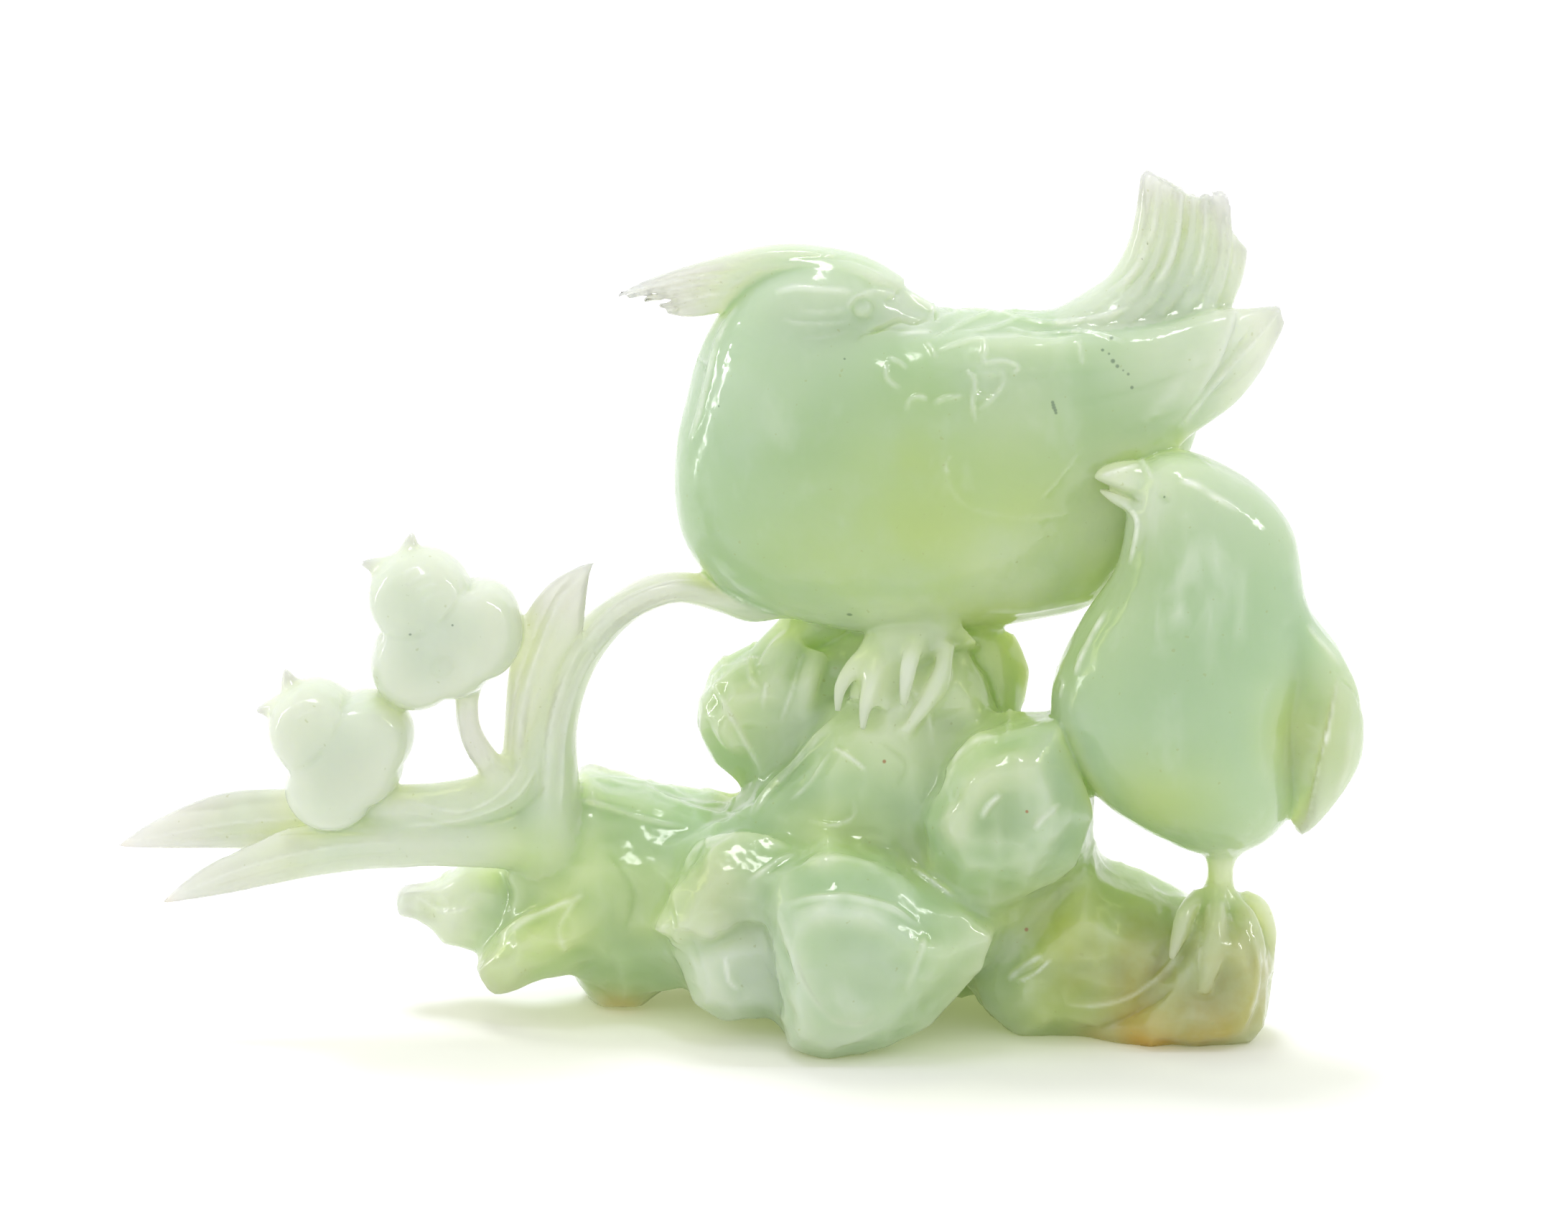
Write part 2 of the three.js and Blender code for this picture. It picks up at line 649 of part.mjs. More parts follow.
function blossoms() {
  return [
    ...blossom(
      [-48.5, 64.5],
      [[-51, 70.3, 8.2, 7.5], [-51.9, 59.3, 7.1, 7.5], [-40.8, 64.8, 6.2, 7.8], [-46, 60.9, 7.1, 7.1]],
      [
        [[-53.1, 74.1], [-52.5, 77.2], [-52.1, 79.6]],
        [[-54.3, 73.5], [-57, 74.7], [-59.6, 75.3]],
      ],
    ),
    ...blossom(
      [-64.5, 45],
      [[-68.2, 49, 7.2, 7.4], [-65.7, 39, 7.2, 6.9], [-59.3, 47.6, 7.2, 6.9], [-62.8, 42.8, 8.9, 7.1]],
      [
        [[-70.1, 53.1], [-71.7, 55.4], [-72.5, 57.6]],
        [[-71.2, 51.9], [-74.1, 51.9], [-76.7, 51.4]],
      ],
    ),
  ];
}

// A closed geometry as a solid that can be joined and cut
function solidOf(geometry) {
  const bare = geometry.clone();
  bare.deleteAttribute('normal');
  bare.deleteAttribute('uv');
  const merged = mergeVertices(bare, 1e-4);
  return new wasm.Manifold(
    new wasm.Mesh({
      numProp: 3,
      vertProperties: merged.attributes.position.array,
      triVerts: new Uint32Array(merged.index.array),
    }),
  );
}

function geometryOf(solid) {
  const { vertProperties, triVerts } = solid.getMesh();
  const geometry = new THREE.BufferGeometry()
    .setAttribute('position', new THREE.BufferAttribute(vertProperties, 3))
    .setIndex(new THREE.BufferAttribute(triVerts, 1));
  geometry.computeVertexNormals();
  return geometry;
}

const forms = [
  ...largeBird(),
  ...crest(),
  ...tail(),
  ...largeWings(),
  ...smallBird(),
  ...legs(),
  ...toes(),
  ...rocks(),
  ...leaves(),
  ...stems(),
  ...blossoms(),
];
const ground = solidOf(new THREE.BoxGeometry(400, 400, GROUND_CUT).translate(0, 0, -GROUND_CUT / 2));
const carved = wasm.Manifold.union(forms.map(solidOf)).subtract(ground);

const carving = new THREE.Mesh(geometryOf(carved), JADE);
carving.name = 'jade_carving';
const { min, max } = carved.boundingBox();
carving.position.set(-(min[0] + max[0]) / 2, -(min[1] + max[1]) / 2, 0);

const part = new THREE.Group();
part.add(carving);

export default part;
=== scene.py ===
"""Looks of the jade bird carving: one carved skin worked out on a distance grid, its stage and camera.

The forms are lofts, sheets, pillows and boulders, in millimetres, +X to the right, -Y to the viewer,
+Z up. Each is turned into a grid of signed distances, the grids are joined with small fillets as a
wheel leaves them, and the skin at distance zero becomes the mesh. Shallow carving is then cut into
that skin along strokes drawn in the plane of the picture.
"""
import math
from collections import namedtuple

import bmesh
import bpy
import numpy as np
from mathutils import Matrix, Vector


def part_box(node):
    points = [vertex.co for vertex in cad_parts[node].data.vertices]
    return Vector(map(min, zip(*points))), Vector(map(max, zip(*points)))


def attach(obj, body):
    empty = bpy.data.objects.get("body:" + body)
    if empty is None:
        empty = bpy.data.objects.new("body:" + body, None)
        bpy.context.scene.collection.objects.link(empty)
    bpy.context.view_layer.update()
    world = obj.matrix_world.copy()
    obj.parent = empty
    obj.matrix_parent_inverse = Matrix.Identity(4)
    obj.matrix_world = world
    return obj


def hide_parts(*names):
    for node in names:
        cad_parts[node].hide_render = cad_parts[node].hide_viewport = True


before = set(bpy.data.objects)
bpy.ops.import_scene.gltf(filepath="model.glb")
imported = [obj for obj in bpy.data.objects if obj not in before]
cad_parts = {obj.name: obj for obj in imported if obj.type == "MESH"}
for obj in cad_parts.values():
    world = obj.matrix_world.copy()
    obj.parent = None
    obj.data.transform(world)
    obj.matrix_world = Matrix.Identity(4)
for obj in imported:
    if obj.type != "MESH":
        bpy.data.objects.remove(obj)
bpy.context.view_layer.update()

import openvdb as vdb
from bpy.props import FloatProperty, FloatVectorProperty, IntProperty, PointerProperty

bl_info = {
    "name": "Jade Bird Carving",
    "version": (1, 0, 0),
    "blender": (4, 5, 0),
    "location": "3D View > Sidebar > Jade",
    "description": "Builds the carved jade birds on rockwork, with their stage",
    "category": "Object",
}

MM = 0.001
CENTRING = np.array([1.688, 0.995, 0.0])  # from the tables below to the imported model, in mm
CAD_BOX_MM = tuple(np.array(corner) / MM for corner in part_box("jade_carving"))
BOX_MARGIN = 0.01  # in mm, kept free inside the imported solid's box

LARGE_BIRD_Y = 7.0
CREST_Y = 5.0
SMALL_BIRD_Y = -11.0
BLOSSOM_Y = -5.0
BLOSSOM_DEPTH = 9.0
FAR_WING_DROP = 2.5
SEPAL_SIZES = ((1.9, 3), (1.6, 2.2), (0.3, 0.5))  # half width and half depth at base, bend and tip
TOE_SET_BACK = (1.3, 1.3, 1.3, 1.5)  # how far each station of a toe lies behind its place in the table
TOE_SHARES = (1.2, 1.25, 1, 0.45)  # of a toe's thickness at ankle, knuckle, bend and tip
THINNEST = 0.02  # the least half width of a loft, in mm
FEATHER_STEP = 0.14  # the share of a feather's width, at each side, in which its length changes
FEATHER_ROOT = 0.12  # the share of its length in which its root is rounded off
GROOVE_SLOPE = 2.4  # how steeply a groove fades towards a feather's middle, over its half width

# The picture is taken from 12 degrees above the table, 1 m away from this point
VIEW_TILT = math.radians(12.0)
VIEW_AIM = np.array([6.8, 0.0, 67.1])
VIEW_DISTANCE = 1000.0
VIEW_AHEAD = np.array([0.0, math.cos(VIEW_TILT), -math.sin(VIEW_TILT)])
VIEW_UP = np.array([0.0, math.sin(VIEW_TILT), math.cos(VIEW_TILT)])
PHOTO_SIZE = (2184, 1692)
FOCAL_LENGTH = 8725.0  # in pixels of the photo
PIXELS_PER_MM = FOCAL_LENGTH / VIEW_DISTANCE
SENSOR_WIDTH = 36.0

# The relief and its measures, lengths in mm
UNDER_SKIN = 0.6  # how far below the skin its label is read
WAVE = (0.10, 5.0, 3)  # height, size and seed of the slow waves of polishing
CHIPS = ((1.15, 10.0, 5), (0.55, 4.2, 6))  # the same of the rocks' coarse and fine chips
CARVED_LIMIT = 0.08  # a corner moved further than this by strokes counts as carved
STEP_RISE = 0.3  # over which a carved step rises
END_FADE = 0.18  # the share of a stroke's length in which it fades out at each end
NOISE_SIDE = 24  # numbers along each side of the noise's lattice, which repeats
COARSE_STEP = 1.5  # step of the grid on which thickness and nooks are measured
THICK_BALLS = (2.2, 6.0)  # spreads of the soft balls that measure thickness
NOOK_BALL = 2.6  # spread of the soft ball that measures nooks
NOOK_AHEAD = 3.2  # how far its middle lies outside the skin

# The stage, in metres and watts
LIGHT_AIM = (0, 0, 0.07)
AREA_LIGHTS = (
    ("over_box", (-0.15, -0.1, 1.2), (0.4, 0.2), 2.4),
    ("left_strip", (-0.95, 0.25, 0.30), (0.025, 0.7), 1.4),
    ("right_strip", (0.8, -0.1, 0.75), (0.025, 0.5), 1.4),
)

# The label of each form in the grid
ROCK, LARGE, CREST, TAIL, WING, SMALL, LEG, PLANT, BLOSSOM = range(9)


def spline(points, t):
    """A smooth curve through the points at shares t of its length in steps: a uniform Catmull-Rom curve,
    whose slope at a point is half the way from the point before it to the point after it."""
    points = np.asarray(points, float)
    padded = np.vstack([2 * points[0] - points[1], points, 2 * points[-1] - points[-2]])
    spans = len(points) - 1
    along = np.clip(np.asarray(t, float), 0, 1) * spans
    first = np.minimum(along.astype(int), spans - 1)
    w = (along - first)[..., None]
    before, start, end, after = (padded[first + k] for k in range(4))
    leave, arrive = 0.5 * (end - before), 0.5 * (after - start)
    cubic = 2 * start - 2 * end + leave + arrive
    square = 3 * end - 3 * start - 2 * leave - arrive
    return ((cubic * w + square) * w + leave) * w + start


def closed_grid(rings):
    """The closed skin over rings of equal length, with a fan at each end. Returns points and triangles."""
    count, sides = rings.shape[:2]
    points = np.vstack([rings.reshape(-1, 3), rings[0].mean(0), rings[-1].mean(0)])
    i, j = np.meshgrid(np.arange(count - 1), np.arange(sides), indexing="ij")
    a, b = i * sides + j, i * sides + (j + 1) % sides
    c, d = b + sides, a + sides
    walls = np.stack([a, b, c, a, c, d], -1).reshape(-1, 3)
    side = np.arange(sides)
    nxt = (side + 1) % sides
    top, last = count * sides, (count - 1) * sides
    low_cap = np.stack([nxt, side, np.full(sides, top)], -1)
    high_cap = np.stack([last + side, last + nxt, np.full(sides, top + 1)], -1)
    return points, np.vstack([walls, low_cap, high_cap])


def loft(stations, rings=40, sides=28, rounded=False, across=None):
    """A profile carried along a path. A station is [x, y, z, half width, half depth]; the width lies
    across the path in the picture plane and the depth along Y. A rounded loft takes the square root of
    smooth squares, so that an end of no size closes like a ball; otherwise it closes like a spike."""
    power = 2.0 if rounded else 1.0
    table = np.asarray(stations, float)
    t = np.linspace(0, 1, rings + 1)
    if rounded:
        t = (1 - np.cos(np.pi * t)) / 2
    centre = spline(table[:, :3], t)
    size = np.maximum(spline(table[:, 3:] ** power, t), 0) ** (1 / power)
    size = np.maximum(size, THINNEST)
    if across is None:
        ahead = spline(table[:, :3], t + 1e-4) - spline(table[:, :3], t - 1e-4)
        ahead /= np.linalg.norm(ahead, axis=1, keepdims=True)
    else:
        ahead = np.tile(np.asarray(across, float), (len(t), 1))
    width = np.cross([0, 1, 0], ahead)
    width /= np.linalg.norm(width, axis=1, keepdims=True)
    depth = np.cross(ahead, width)
    angle = 2 * np.pi * np.arange(sides) / sides
    skin = (
        centre[:, None]
        + (size[:, :1] * width)[:, None] * np.cos(angle)[:, None]
        + (size[:, 1:] * depth)[:, None] * np.sin(angle)[:, None]
    )
    return closed_grid(skin)


def feather_sheet(upper, lower, lengths, depths, groove, notch, backing=None, back_side=1, rings=60, fine=10):
    """Feathers side by side between an upper and a lower guide curve. Across one feather the half
    thickness is largest in the middle and sinks by the groove, in mm, at its edges, or by less where the
    sheet is under 3 mm thick; the feather is shorter at its edges by the notch, a share of its length. The
    lengths change in a short step from feather to feather. The root is rounded off like a ball."""
    lanes = len(lengths)
    share = np.linspace(0, 1, lanes * fine + 1)
    lane = share * lanes
    edge = np.abs(2 * (lane - np.floor(np.minimum(lane, lanes - 1e-6))) - 1)
    steps = np.arange(lanes)[:, None] + np.array([FEATHER_STEP, 1 - FEATHER_STEP])
    length = np.interp(lane, steps.ravel(), np.repeat(lengths, 2)) - notch * edge**1.5
    back = backing or depths
    column = np.concatenate([np.arange(len(share)), np.arange(len(share) - 2, 0, -1)])
    side = np.concatenate([-np.ones(len(share)), np.ones(len(share) - 2)])
    at = np.linspace(0, 1, rings + 1)
    t = at[:, None] * length[column]
    top, bottom = spline(upper, t), spline(lower, t)
    skin = top + (bottom - top) * share[column][:, None]
    rim = np.sqrt(np.maximum(0, 1 - (2 * share - 1) ** 4))[column]
    own = np.where(side == back_side, 1, 0)
    root = np.where(own, back[0], depths[0])
    tip = np.where(own, back[1], depths[1])
    thick = (root + (tip - root) * at[:, None]) * np.sqrt(np.clip(at / FEATHER_ROOT, 0.02, 1))[:, None]
    near_edge = np.clip(1 - (1 - edge[column]) * GROOVE_SLOPE, 0, 1) ** 1.5
    cut = groove * near_edge * np.minimum(1, thick / 3)
    skin[..., 1] += side * np.maximum((thick - cut) * rim, 0.05)
    return closed_grid(skin)


def ellipsoid(centre, radii):
    """A ball of three half sizes, as rings around the Y axis."""
    x, y, z = centre
    wide, deep, high = radii
    latitude = np.linspace(0.02, math.pi - 0.02, 25)
    angle = 2 * np.pi * np.arange(32) / 32
    ring_size = np.sin(latitude)[:, None]
    flat_x, flat_z = wide * ring_size * np.cos(angle), high * ring_size * np.sin(angle)
    ring_y = y - deep * np.cos(latitude)[:, None] + 0 * flat_x
    return closed_grid(np.stack([x + flat_x, ring_y, z + flat_z], -1))


def boulder(outline, y, front, back, face=0.55, lean=(0, 0)):
    """A convex boulder through four upright rings of corners, from its front face to its back face. The
    middle rings carry the outline, and the two faces are the outline drawn in towards its middle."""
    outline = np.asarray(outline, float)
    middle = outline.mean(0)
    rings = [
        (y - front, face, 1), (y - 0.5 * front, 0.93, 0.3),
        (y + 0.35 * back, 1, 0), (y + back, face + 0.1, -0.5),
    ]
    corners = []
    for ring_y, scale, shift in rings:
        flat = middle + (outline - middle) * scale + np.asarray(lean) * shift
        corners.append(np.column_stack([flat[:, 0], np.full(len(flat), ring_y), flat[:, 1]]))
    work = bmesh.new()
    for corner in np.vstack(corners):
        work.verts.new(corner)
    bmesh.ops.convex_hull(work, input=work.verts)
    bmesh.ops.triangulate(work, faces=work.faces)
    loose = [v for v in work.verts if not v.link_faces]
    bmesh.ops.delete(work, geom=loose, context="VERTS")
    work.verts.index_update()
    points = np.array([v.co[:] for v in work.verts])
    triangles = np.array([[v.index for v in f.verts] for f in work.faces])
    work.free()
    return points, triangles


def rough_outline(middle, size, seed):
    """A rough polygon around an ellipse, for a rock that no edge of the photograph fixes."""
    corner = np.arange(8)
    noise = np.abs(np.sin(seed * 12.9898 + corner * 78.233) * 43758.5453) % 1
    angle = 2 * np.pi * (corner + 0.5 * noise) / 8
    reach = 0.86 + 0.22 * ((noise * 7) % 1)
    across, up = size[0] * reach * np.cos(angle), size[1] * reach * np.sin(angle)
    return np.column_stack([middle[0] + across, middle[1] + up])


def mirrored(stations, middle_y, drop=0.0):
    """The same form on the far side of a mid-plane, lowered by the drop."""
    return [[x, 2 * middle_y - y, z - drop, *rest] for x, y, z, *rest in stations]


def large_bird():
    """The crested bird's body, neck and head. This list and the ones below hold (skin, label, fillet in
    mm)."""
    y = LARGE_BIRD_Y
    body = [
        [-10.9, y, 86.9, 0, 0], [-8.6, y, 87, 12, 10], [-2.6, y, 88.6, 20, 16], [6.6, y, 89.3, 24.8, 20.5],
        [19.2, y, 88.9, 27.1, 22.5], [33, y, 88, 26.1, 22], [45.6, y, 88.6, 25, 19.5],
        [57.1, y, 89.7, 23.2, 15], [65.1, y, 95, 17, 11], [74, y, 101, 0, 0],
    ]
    neck = [
        [6.6, y, 94.5, 13.8, 17], [5.2, y, 103.8, 11.9, 16], [7.5, y - 1, 112.1, 10.1, 13],
        [13.4, y - 2, 116.6, 7.1, 10.5], [19.7, y - 2, 116.6, 5.7, 8.5], [24.6, y - 2, 115.2, 3.4, 5.5],
        [26.8, y - 2, 114.3, 0, 0],
    ]
    return [
        (loft(body, 60, 56, rounded=True, across=(1, 0, 0)), LARGE, 1.0),
        (loft(neck, 40, 40, rounded=True), LARGE, 3.5),
        (ellipsoid((7, y - 3, 101), (14, 17, 14)), LARGE, 3.5),
        (ellipsoid((16, y - 2, 104), (13, 15, 9)), LARGE, 3.5),
        (ellipsoid((31, y - 1, 98), (18, 16.5, 12)), LARGE, 3.5),
    ]


def beaks():
    """The short beaks of both birds, each of two parts."""
    large_y, small_y = CREST_Y, SMALL_BIRD_Y
    parts = (
        [[18, large_y, 116.5, 4, 6], [22, large_y, 116.3, 3.6, 5], [25.4, large_y, 115.6, 2.5, 3.4],
         [28.2, large_y, 114.8, 1.5, 2.2], [30.2, large_y, 114.2, 0.9, 1.4]],
        [[17, large_y, 110, 2, 6], [20.3, large_y, 109.9, 1.8, 4], [24.8, large_y, 110.7, 1.4, 3],
         [28.3, large_y, 110.6, 0.8, 2], [30.9, large_y, 110.3, 0.4, 1]],
        [[69, small_y, 88.5, 4.5, 7], [66.4, small_y, 89.2, 4, 6], [63, small_y, 90.1, 3, 4.4],
         [59.6, small_y, 90.7, 2.2, 3], [57, small_y, 90.7, 1.3, 1.8], [55.3, small_y, 90.2, 0, 0]],
        [[68.5, small_y, 83.5, 4, 6.5], [65.8, small_y, 84.4, 3, 5], [62, small_y, 86.2, 1.9, 3.4],
         [58.4, small_y, 87.6, 1.1, 2], [55.9, small_y, 88.5, 0, 0]],
    )
    return [(loft(part), label, 0.6) for part, label in zip(parts, (LARGE, LARGE, SMALL, SMALL))]


def crest():
    """A thin sheet of feathers swept back from the forehead, ending in separate strands."""
    y = CREST_Y
    upper = [
        [26, y, 119.2], [19.7, y, 122.6], [13.4, y, 124.1], [5.4, y, 124.1], [-3.7, y, 122.2],
        [-12.8, y, 119.6], [-19.9, y, 116.9],
    ]
    lower = [
        [24.3, y, 116.1], [16.8, y, 118.4], [8.9, y, 118.4], [2.1, y, 116.8], [-3.1, y, 114.6],
        [-7.6, y, 113.6], [-11.6, y, 114.1],
    ]
    forms = [(feather_sheet(upper, lower, [0.88, 0.86, 0.88, 0.86, 0.9], (7, 1.7), 0.8, 0.03), CREST, 0.8)]
    for share, end in ((0.04, 1.0), (0.2, 0.995), (0.42, 0.975), (0.68, 0.96), (0.95, 0.99)):
        t = np.linspace(0.3, end, 7)
        path = spline(upper, t) + (spline(lower, t) - spline(upper, t)) * share
        size = np.stack([[0.2, 0.7, 0.9, 0.85, 0.75, 0.6, 0.4], np.linspace(4.2, 0.9, 7)], -1)
        forms.append((loft(np.hstack([path, size]), 40, 14), CREST, 0.5))
    return forms


def tail():
    """Long feathers side by side, curving up from the rump, with stepped ends."""
    y = LARGE_BIRD_Y
    upper = [[46.5, y, 110.7], [53.5, y, 115.9], [58.6, y, 119.7], [61.9, y, 126.3], [63.3, y, 136.7]]
    lower = [[65, y, 103.8], [72.9, y, 109.5], [78.4, y, 115.9], [80.4, y, 122.8], [80.1, y, 132.9]]
    skin = feather_sheet(upper, lower, [1, 0.985, 0.965, 0.95, 0.945, 0.99, 0.8], (10.5, 2.4), 1.1, 0.025)
    return [(skin, TAIL, 3.0)]


def large_wings():
    """Each folded wing: coverts over the flank, and longer primaries behind and below them."""
    coverts_top = [
        [24.5, -4.2, 108.5], [33.5, -4.4, 110.2], [47.1, -4, 111], [64.1, -3.3, 112], [78.1, -1.5, 115.3],
    ]
    coverts_low = [
        [23.2, -8, 104], [30.2, -10.5, 94.4], [38.2, -10.5, 86.9], [50.6, -8, 87.7], [62, -5.5, 92.7],
        [70.1, -3.5, 96.7],
    ]
    primaries_top = [
        [50, -2, 106.5], [66.6, -3, 111.3], [78.1, 0, 114.9], [82.2, 1.5, 115.4], [85.5, 3, 115.4],
    ]
    primaries_low = [[50, -3, 88], [64.3, -5, 92.5], [75.9, -1, 98.5], [82, 1, 105], [86.4, 3, 113]]
    coverts = dict(
        lengths=[1, 1, 0.97, 0.98, 0.96], depths=(3, 2.6), groove=0.25, notch=0.01, backing=(12, 3)
    )
    primaries = dict(lengths=[1, 0.98, 0.99], depths=(4, 1.5), groove=0.5, notch=0.02, backing=(11, 1.5))
    forms = []
    for top, low, shape in ((coverts_top, coverts_low, coverts), (primaries_top, primaries_low, primaries)):
        far_top, far_low = (mirrored(guide, LARGE_BIRD_Y, FAR_WING_DROP) for guide in (top, low))
        forms.append((feather_sheet(top, low, **shape), WING, 3.0))
        forms.append((feather_sheet(far_top, far_low, back_side=-1, **shape), WING, 3.0))
    return forms


def small_bird():
    """The plump bird in front: upright body and head in one, folded wings and tail."""
    y = SMALL_BIRD_Y
    body = [
        [68.6, y, 94.2, 0, 0], [69.3, y, 92.3, 6.1, 7.5], [71.9, y, 87.4, 11, 11], [73.7, y, 81.7, 13.4, 13],
        [73.5, y, 74.8, 14.9, 14.5], [71.4, y, 66.7, 18, 16.5], [69.5, y, 58.5, 19.8, 18],
        [68.6, y, 51.5, 19.4, 18.3], [69.8, y, 44.5, 17.7, 17.5], [72.2, y, 38.1, 14.8, 14.5],
        [75.2, y, 32.8, 9.3, 9.5], [75.1, y, 29.6, 0, 0],
    ]
    wing = [
        [85.5, -13.5, 70, 1, 2.5], [88, -14, 66, 2.6, 3.6], [90.8, -14.3, 61, 4.2, 4.3],
        [92.9, -14.5, 55, 4.7, 4.8], [93.6, -14.5, 49.5, 4.7, 4.8], [92.6, -14, 43.5, 3.6, 4.3],
        [90.6, -13.5, 37.5, 2, 2.8], [88.6, -12.5, 31.6, 0.2, 0.6],
    ]
    tail_fan = [
        [87.3, y, 56.2, 6.8, 8], [91.8, y, 49.2, 7.1, 8], [90.8, y, 42.2, 5.4, 6], [89.6, y, 37.5, 2.4, 3],
        [88.7, y, 33, 0, 0],
    ]
    return [
        (loft(body, 64, 48, rounded=True, across=(0, 0, -1)), SMALL, 1.0),
        (loft(wing), SMALL, 3.5),
        (loft(mirrored(wing, y)), SMALL, 3.5),
        (loft(tail_fan), SMALL, 0.8),
    ]


def toe(ankle, knuckle, bend, tip, thick=1.1):
    """One toe, from the ankle over a knuckle to the tip of its claw: a loft through the four places, each
    set back and with its own share of the thickness."""
    stations = []
    for (x, y, z), back, share in zip((ankle, knuckle, bend, tip), TOE_SET_BACK, TOE_SHARES):
        stations.append([x, y + back, z, thick * share, thick * share])
    return loft(stations, 24, 16)


def legs():
    """Four short legs and the toes that grip the rocks."""
    small_leg = [
        [76.5, -11, 32.2, 4.8, 6], [76.3, -11, 28.7, 2.5, 3.6], [76.3, -11, 25.5, 2.1, 3],
        [76, -11, 22.2, 3.2, 4], [75.3, -11, 17.4, 5.7, 7],
    ]
    near_leg = [
        [29.5, 2, 66.2, 10.3, 8], [26.3, 0, 61.9, 7.1, 6], [23.2, -2, 57.1, 5, 5], [20.9, -4, 51.7, 4.1, 5],
    ]
    far_leg = [
        [13.5, 14, 63.6, 5.8, 6], [8.9, 13, 59.7, 4, 5], [4.2, 11, 55.4, 3.5, 5], [1.9, 10, 50.3, 3, 4],
    ]
    spur_leg = [
        [37.5, 6, 66.5, 5.4, 6], [38.2, 6, 61.2, 4, 5], [40.6, 5, 57.3, 4, 4.5], [41.6, 4, 52.8, 3.3, 4],
        [42, 3, 47.1, 3, 4],
    ]
    toes = [
        toe([72.8, -14, 22.9], [70.3, -19, 21.4], [69, -22, 18.2], [67.9, -24, 15.2]),
        toe([75.6, -15, 22.6], [75, -21, 20.1], [74.3, -24.5, 15.2], [73.1, -25, 10.2]),
        toe([78.1, -14, 22], [80.4, -17, 19.6], [81.2, -20, 15.2], [80.6, -22, 10.4]),
        toe([80, -11, 22], [82.8, -12, 20.5], [84.3, -13, 16.5], [84, -14, 12.5]),
        toe([20.8, -4, 60.9], [17.9, -7, 58.7], [15.8, -9, 55.7], [15.3, -10, 51.9]),
        toe([22, -4, 59.7], [20.9, -9, 57.4], [19.7, -11, 53.2], [19.2, -12, 49.6]),
        toe([28.2, -5, 62.8], [26.8, -10, 60.4], [26.1, -11, 56.6], [25.7, -11, 53.5]),
        toe([32.7, -6, 61.9], [31.8, -9, 57.9], [29.3, -11, 53.3], [26.1, -12, 49.3]),
        toe([9.3, 8, 60.8], [5.9, 5, 59.1], [4.5, 4, 57.7], [3.2, 3, 56.9]),
        toe([8.7, 6, 58.9], [5.4, 2, 55.2], [4.4, 1.5, 52.4], [3.5, 1, 49.9]),
        toe([42.5, 5, 60.5], [43.9, 4, 57.6], [45.2, 3, 55.4], [44.8, 3, 51], 1),
        toe([12.2, 5, 57.9], [10.8, 1, 54.8], [10, 0.5, 52.2], [9.4, 0, 49.7]),
    ]
    shafts = [(loft(stations), LEG, 1.2) for stations in (small_leg, near_leg, far_leg, spur_leg)]
    return shafts + [(skin, LEG, 2.2) for skin in toes]


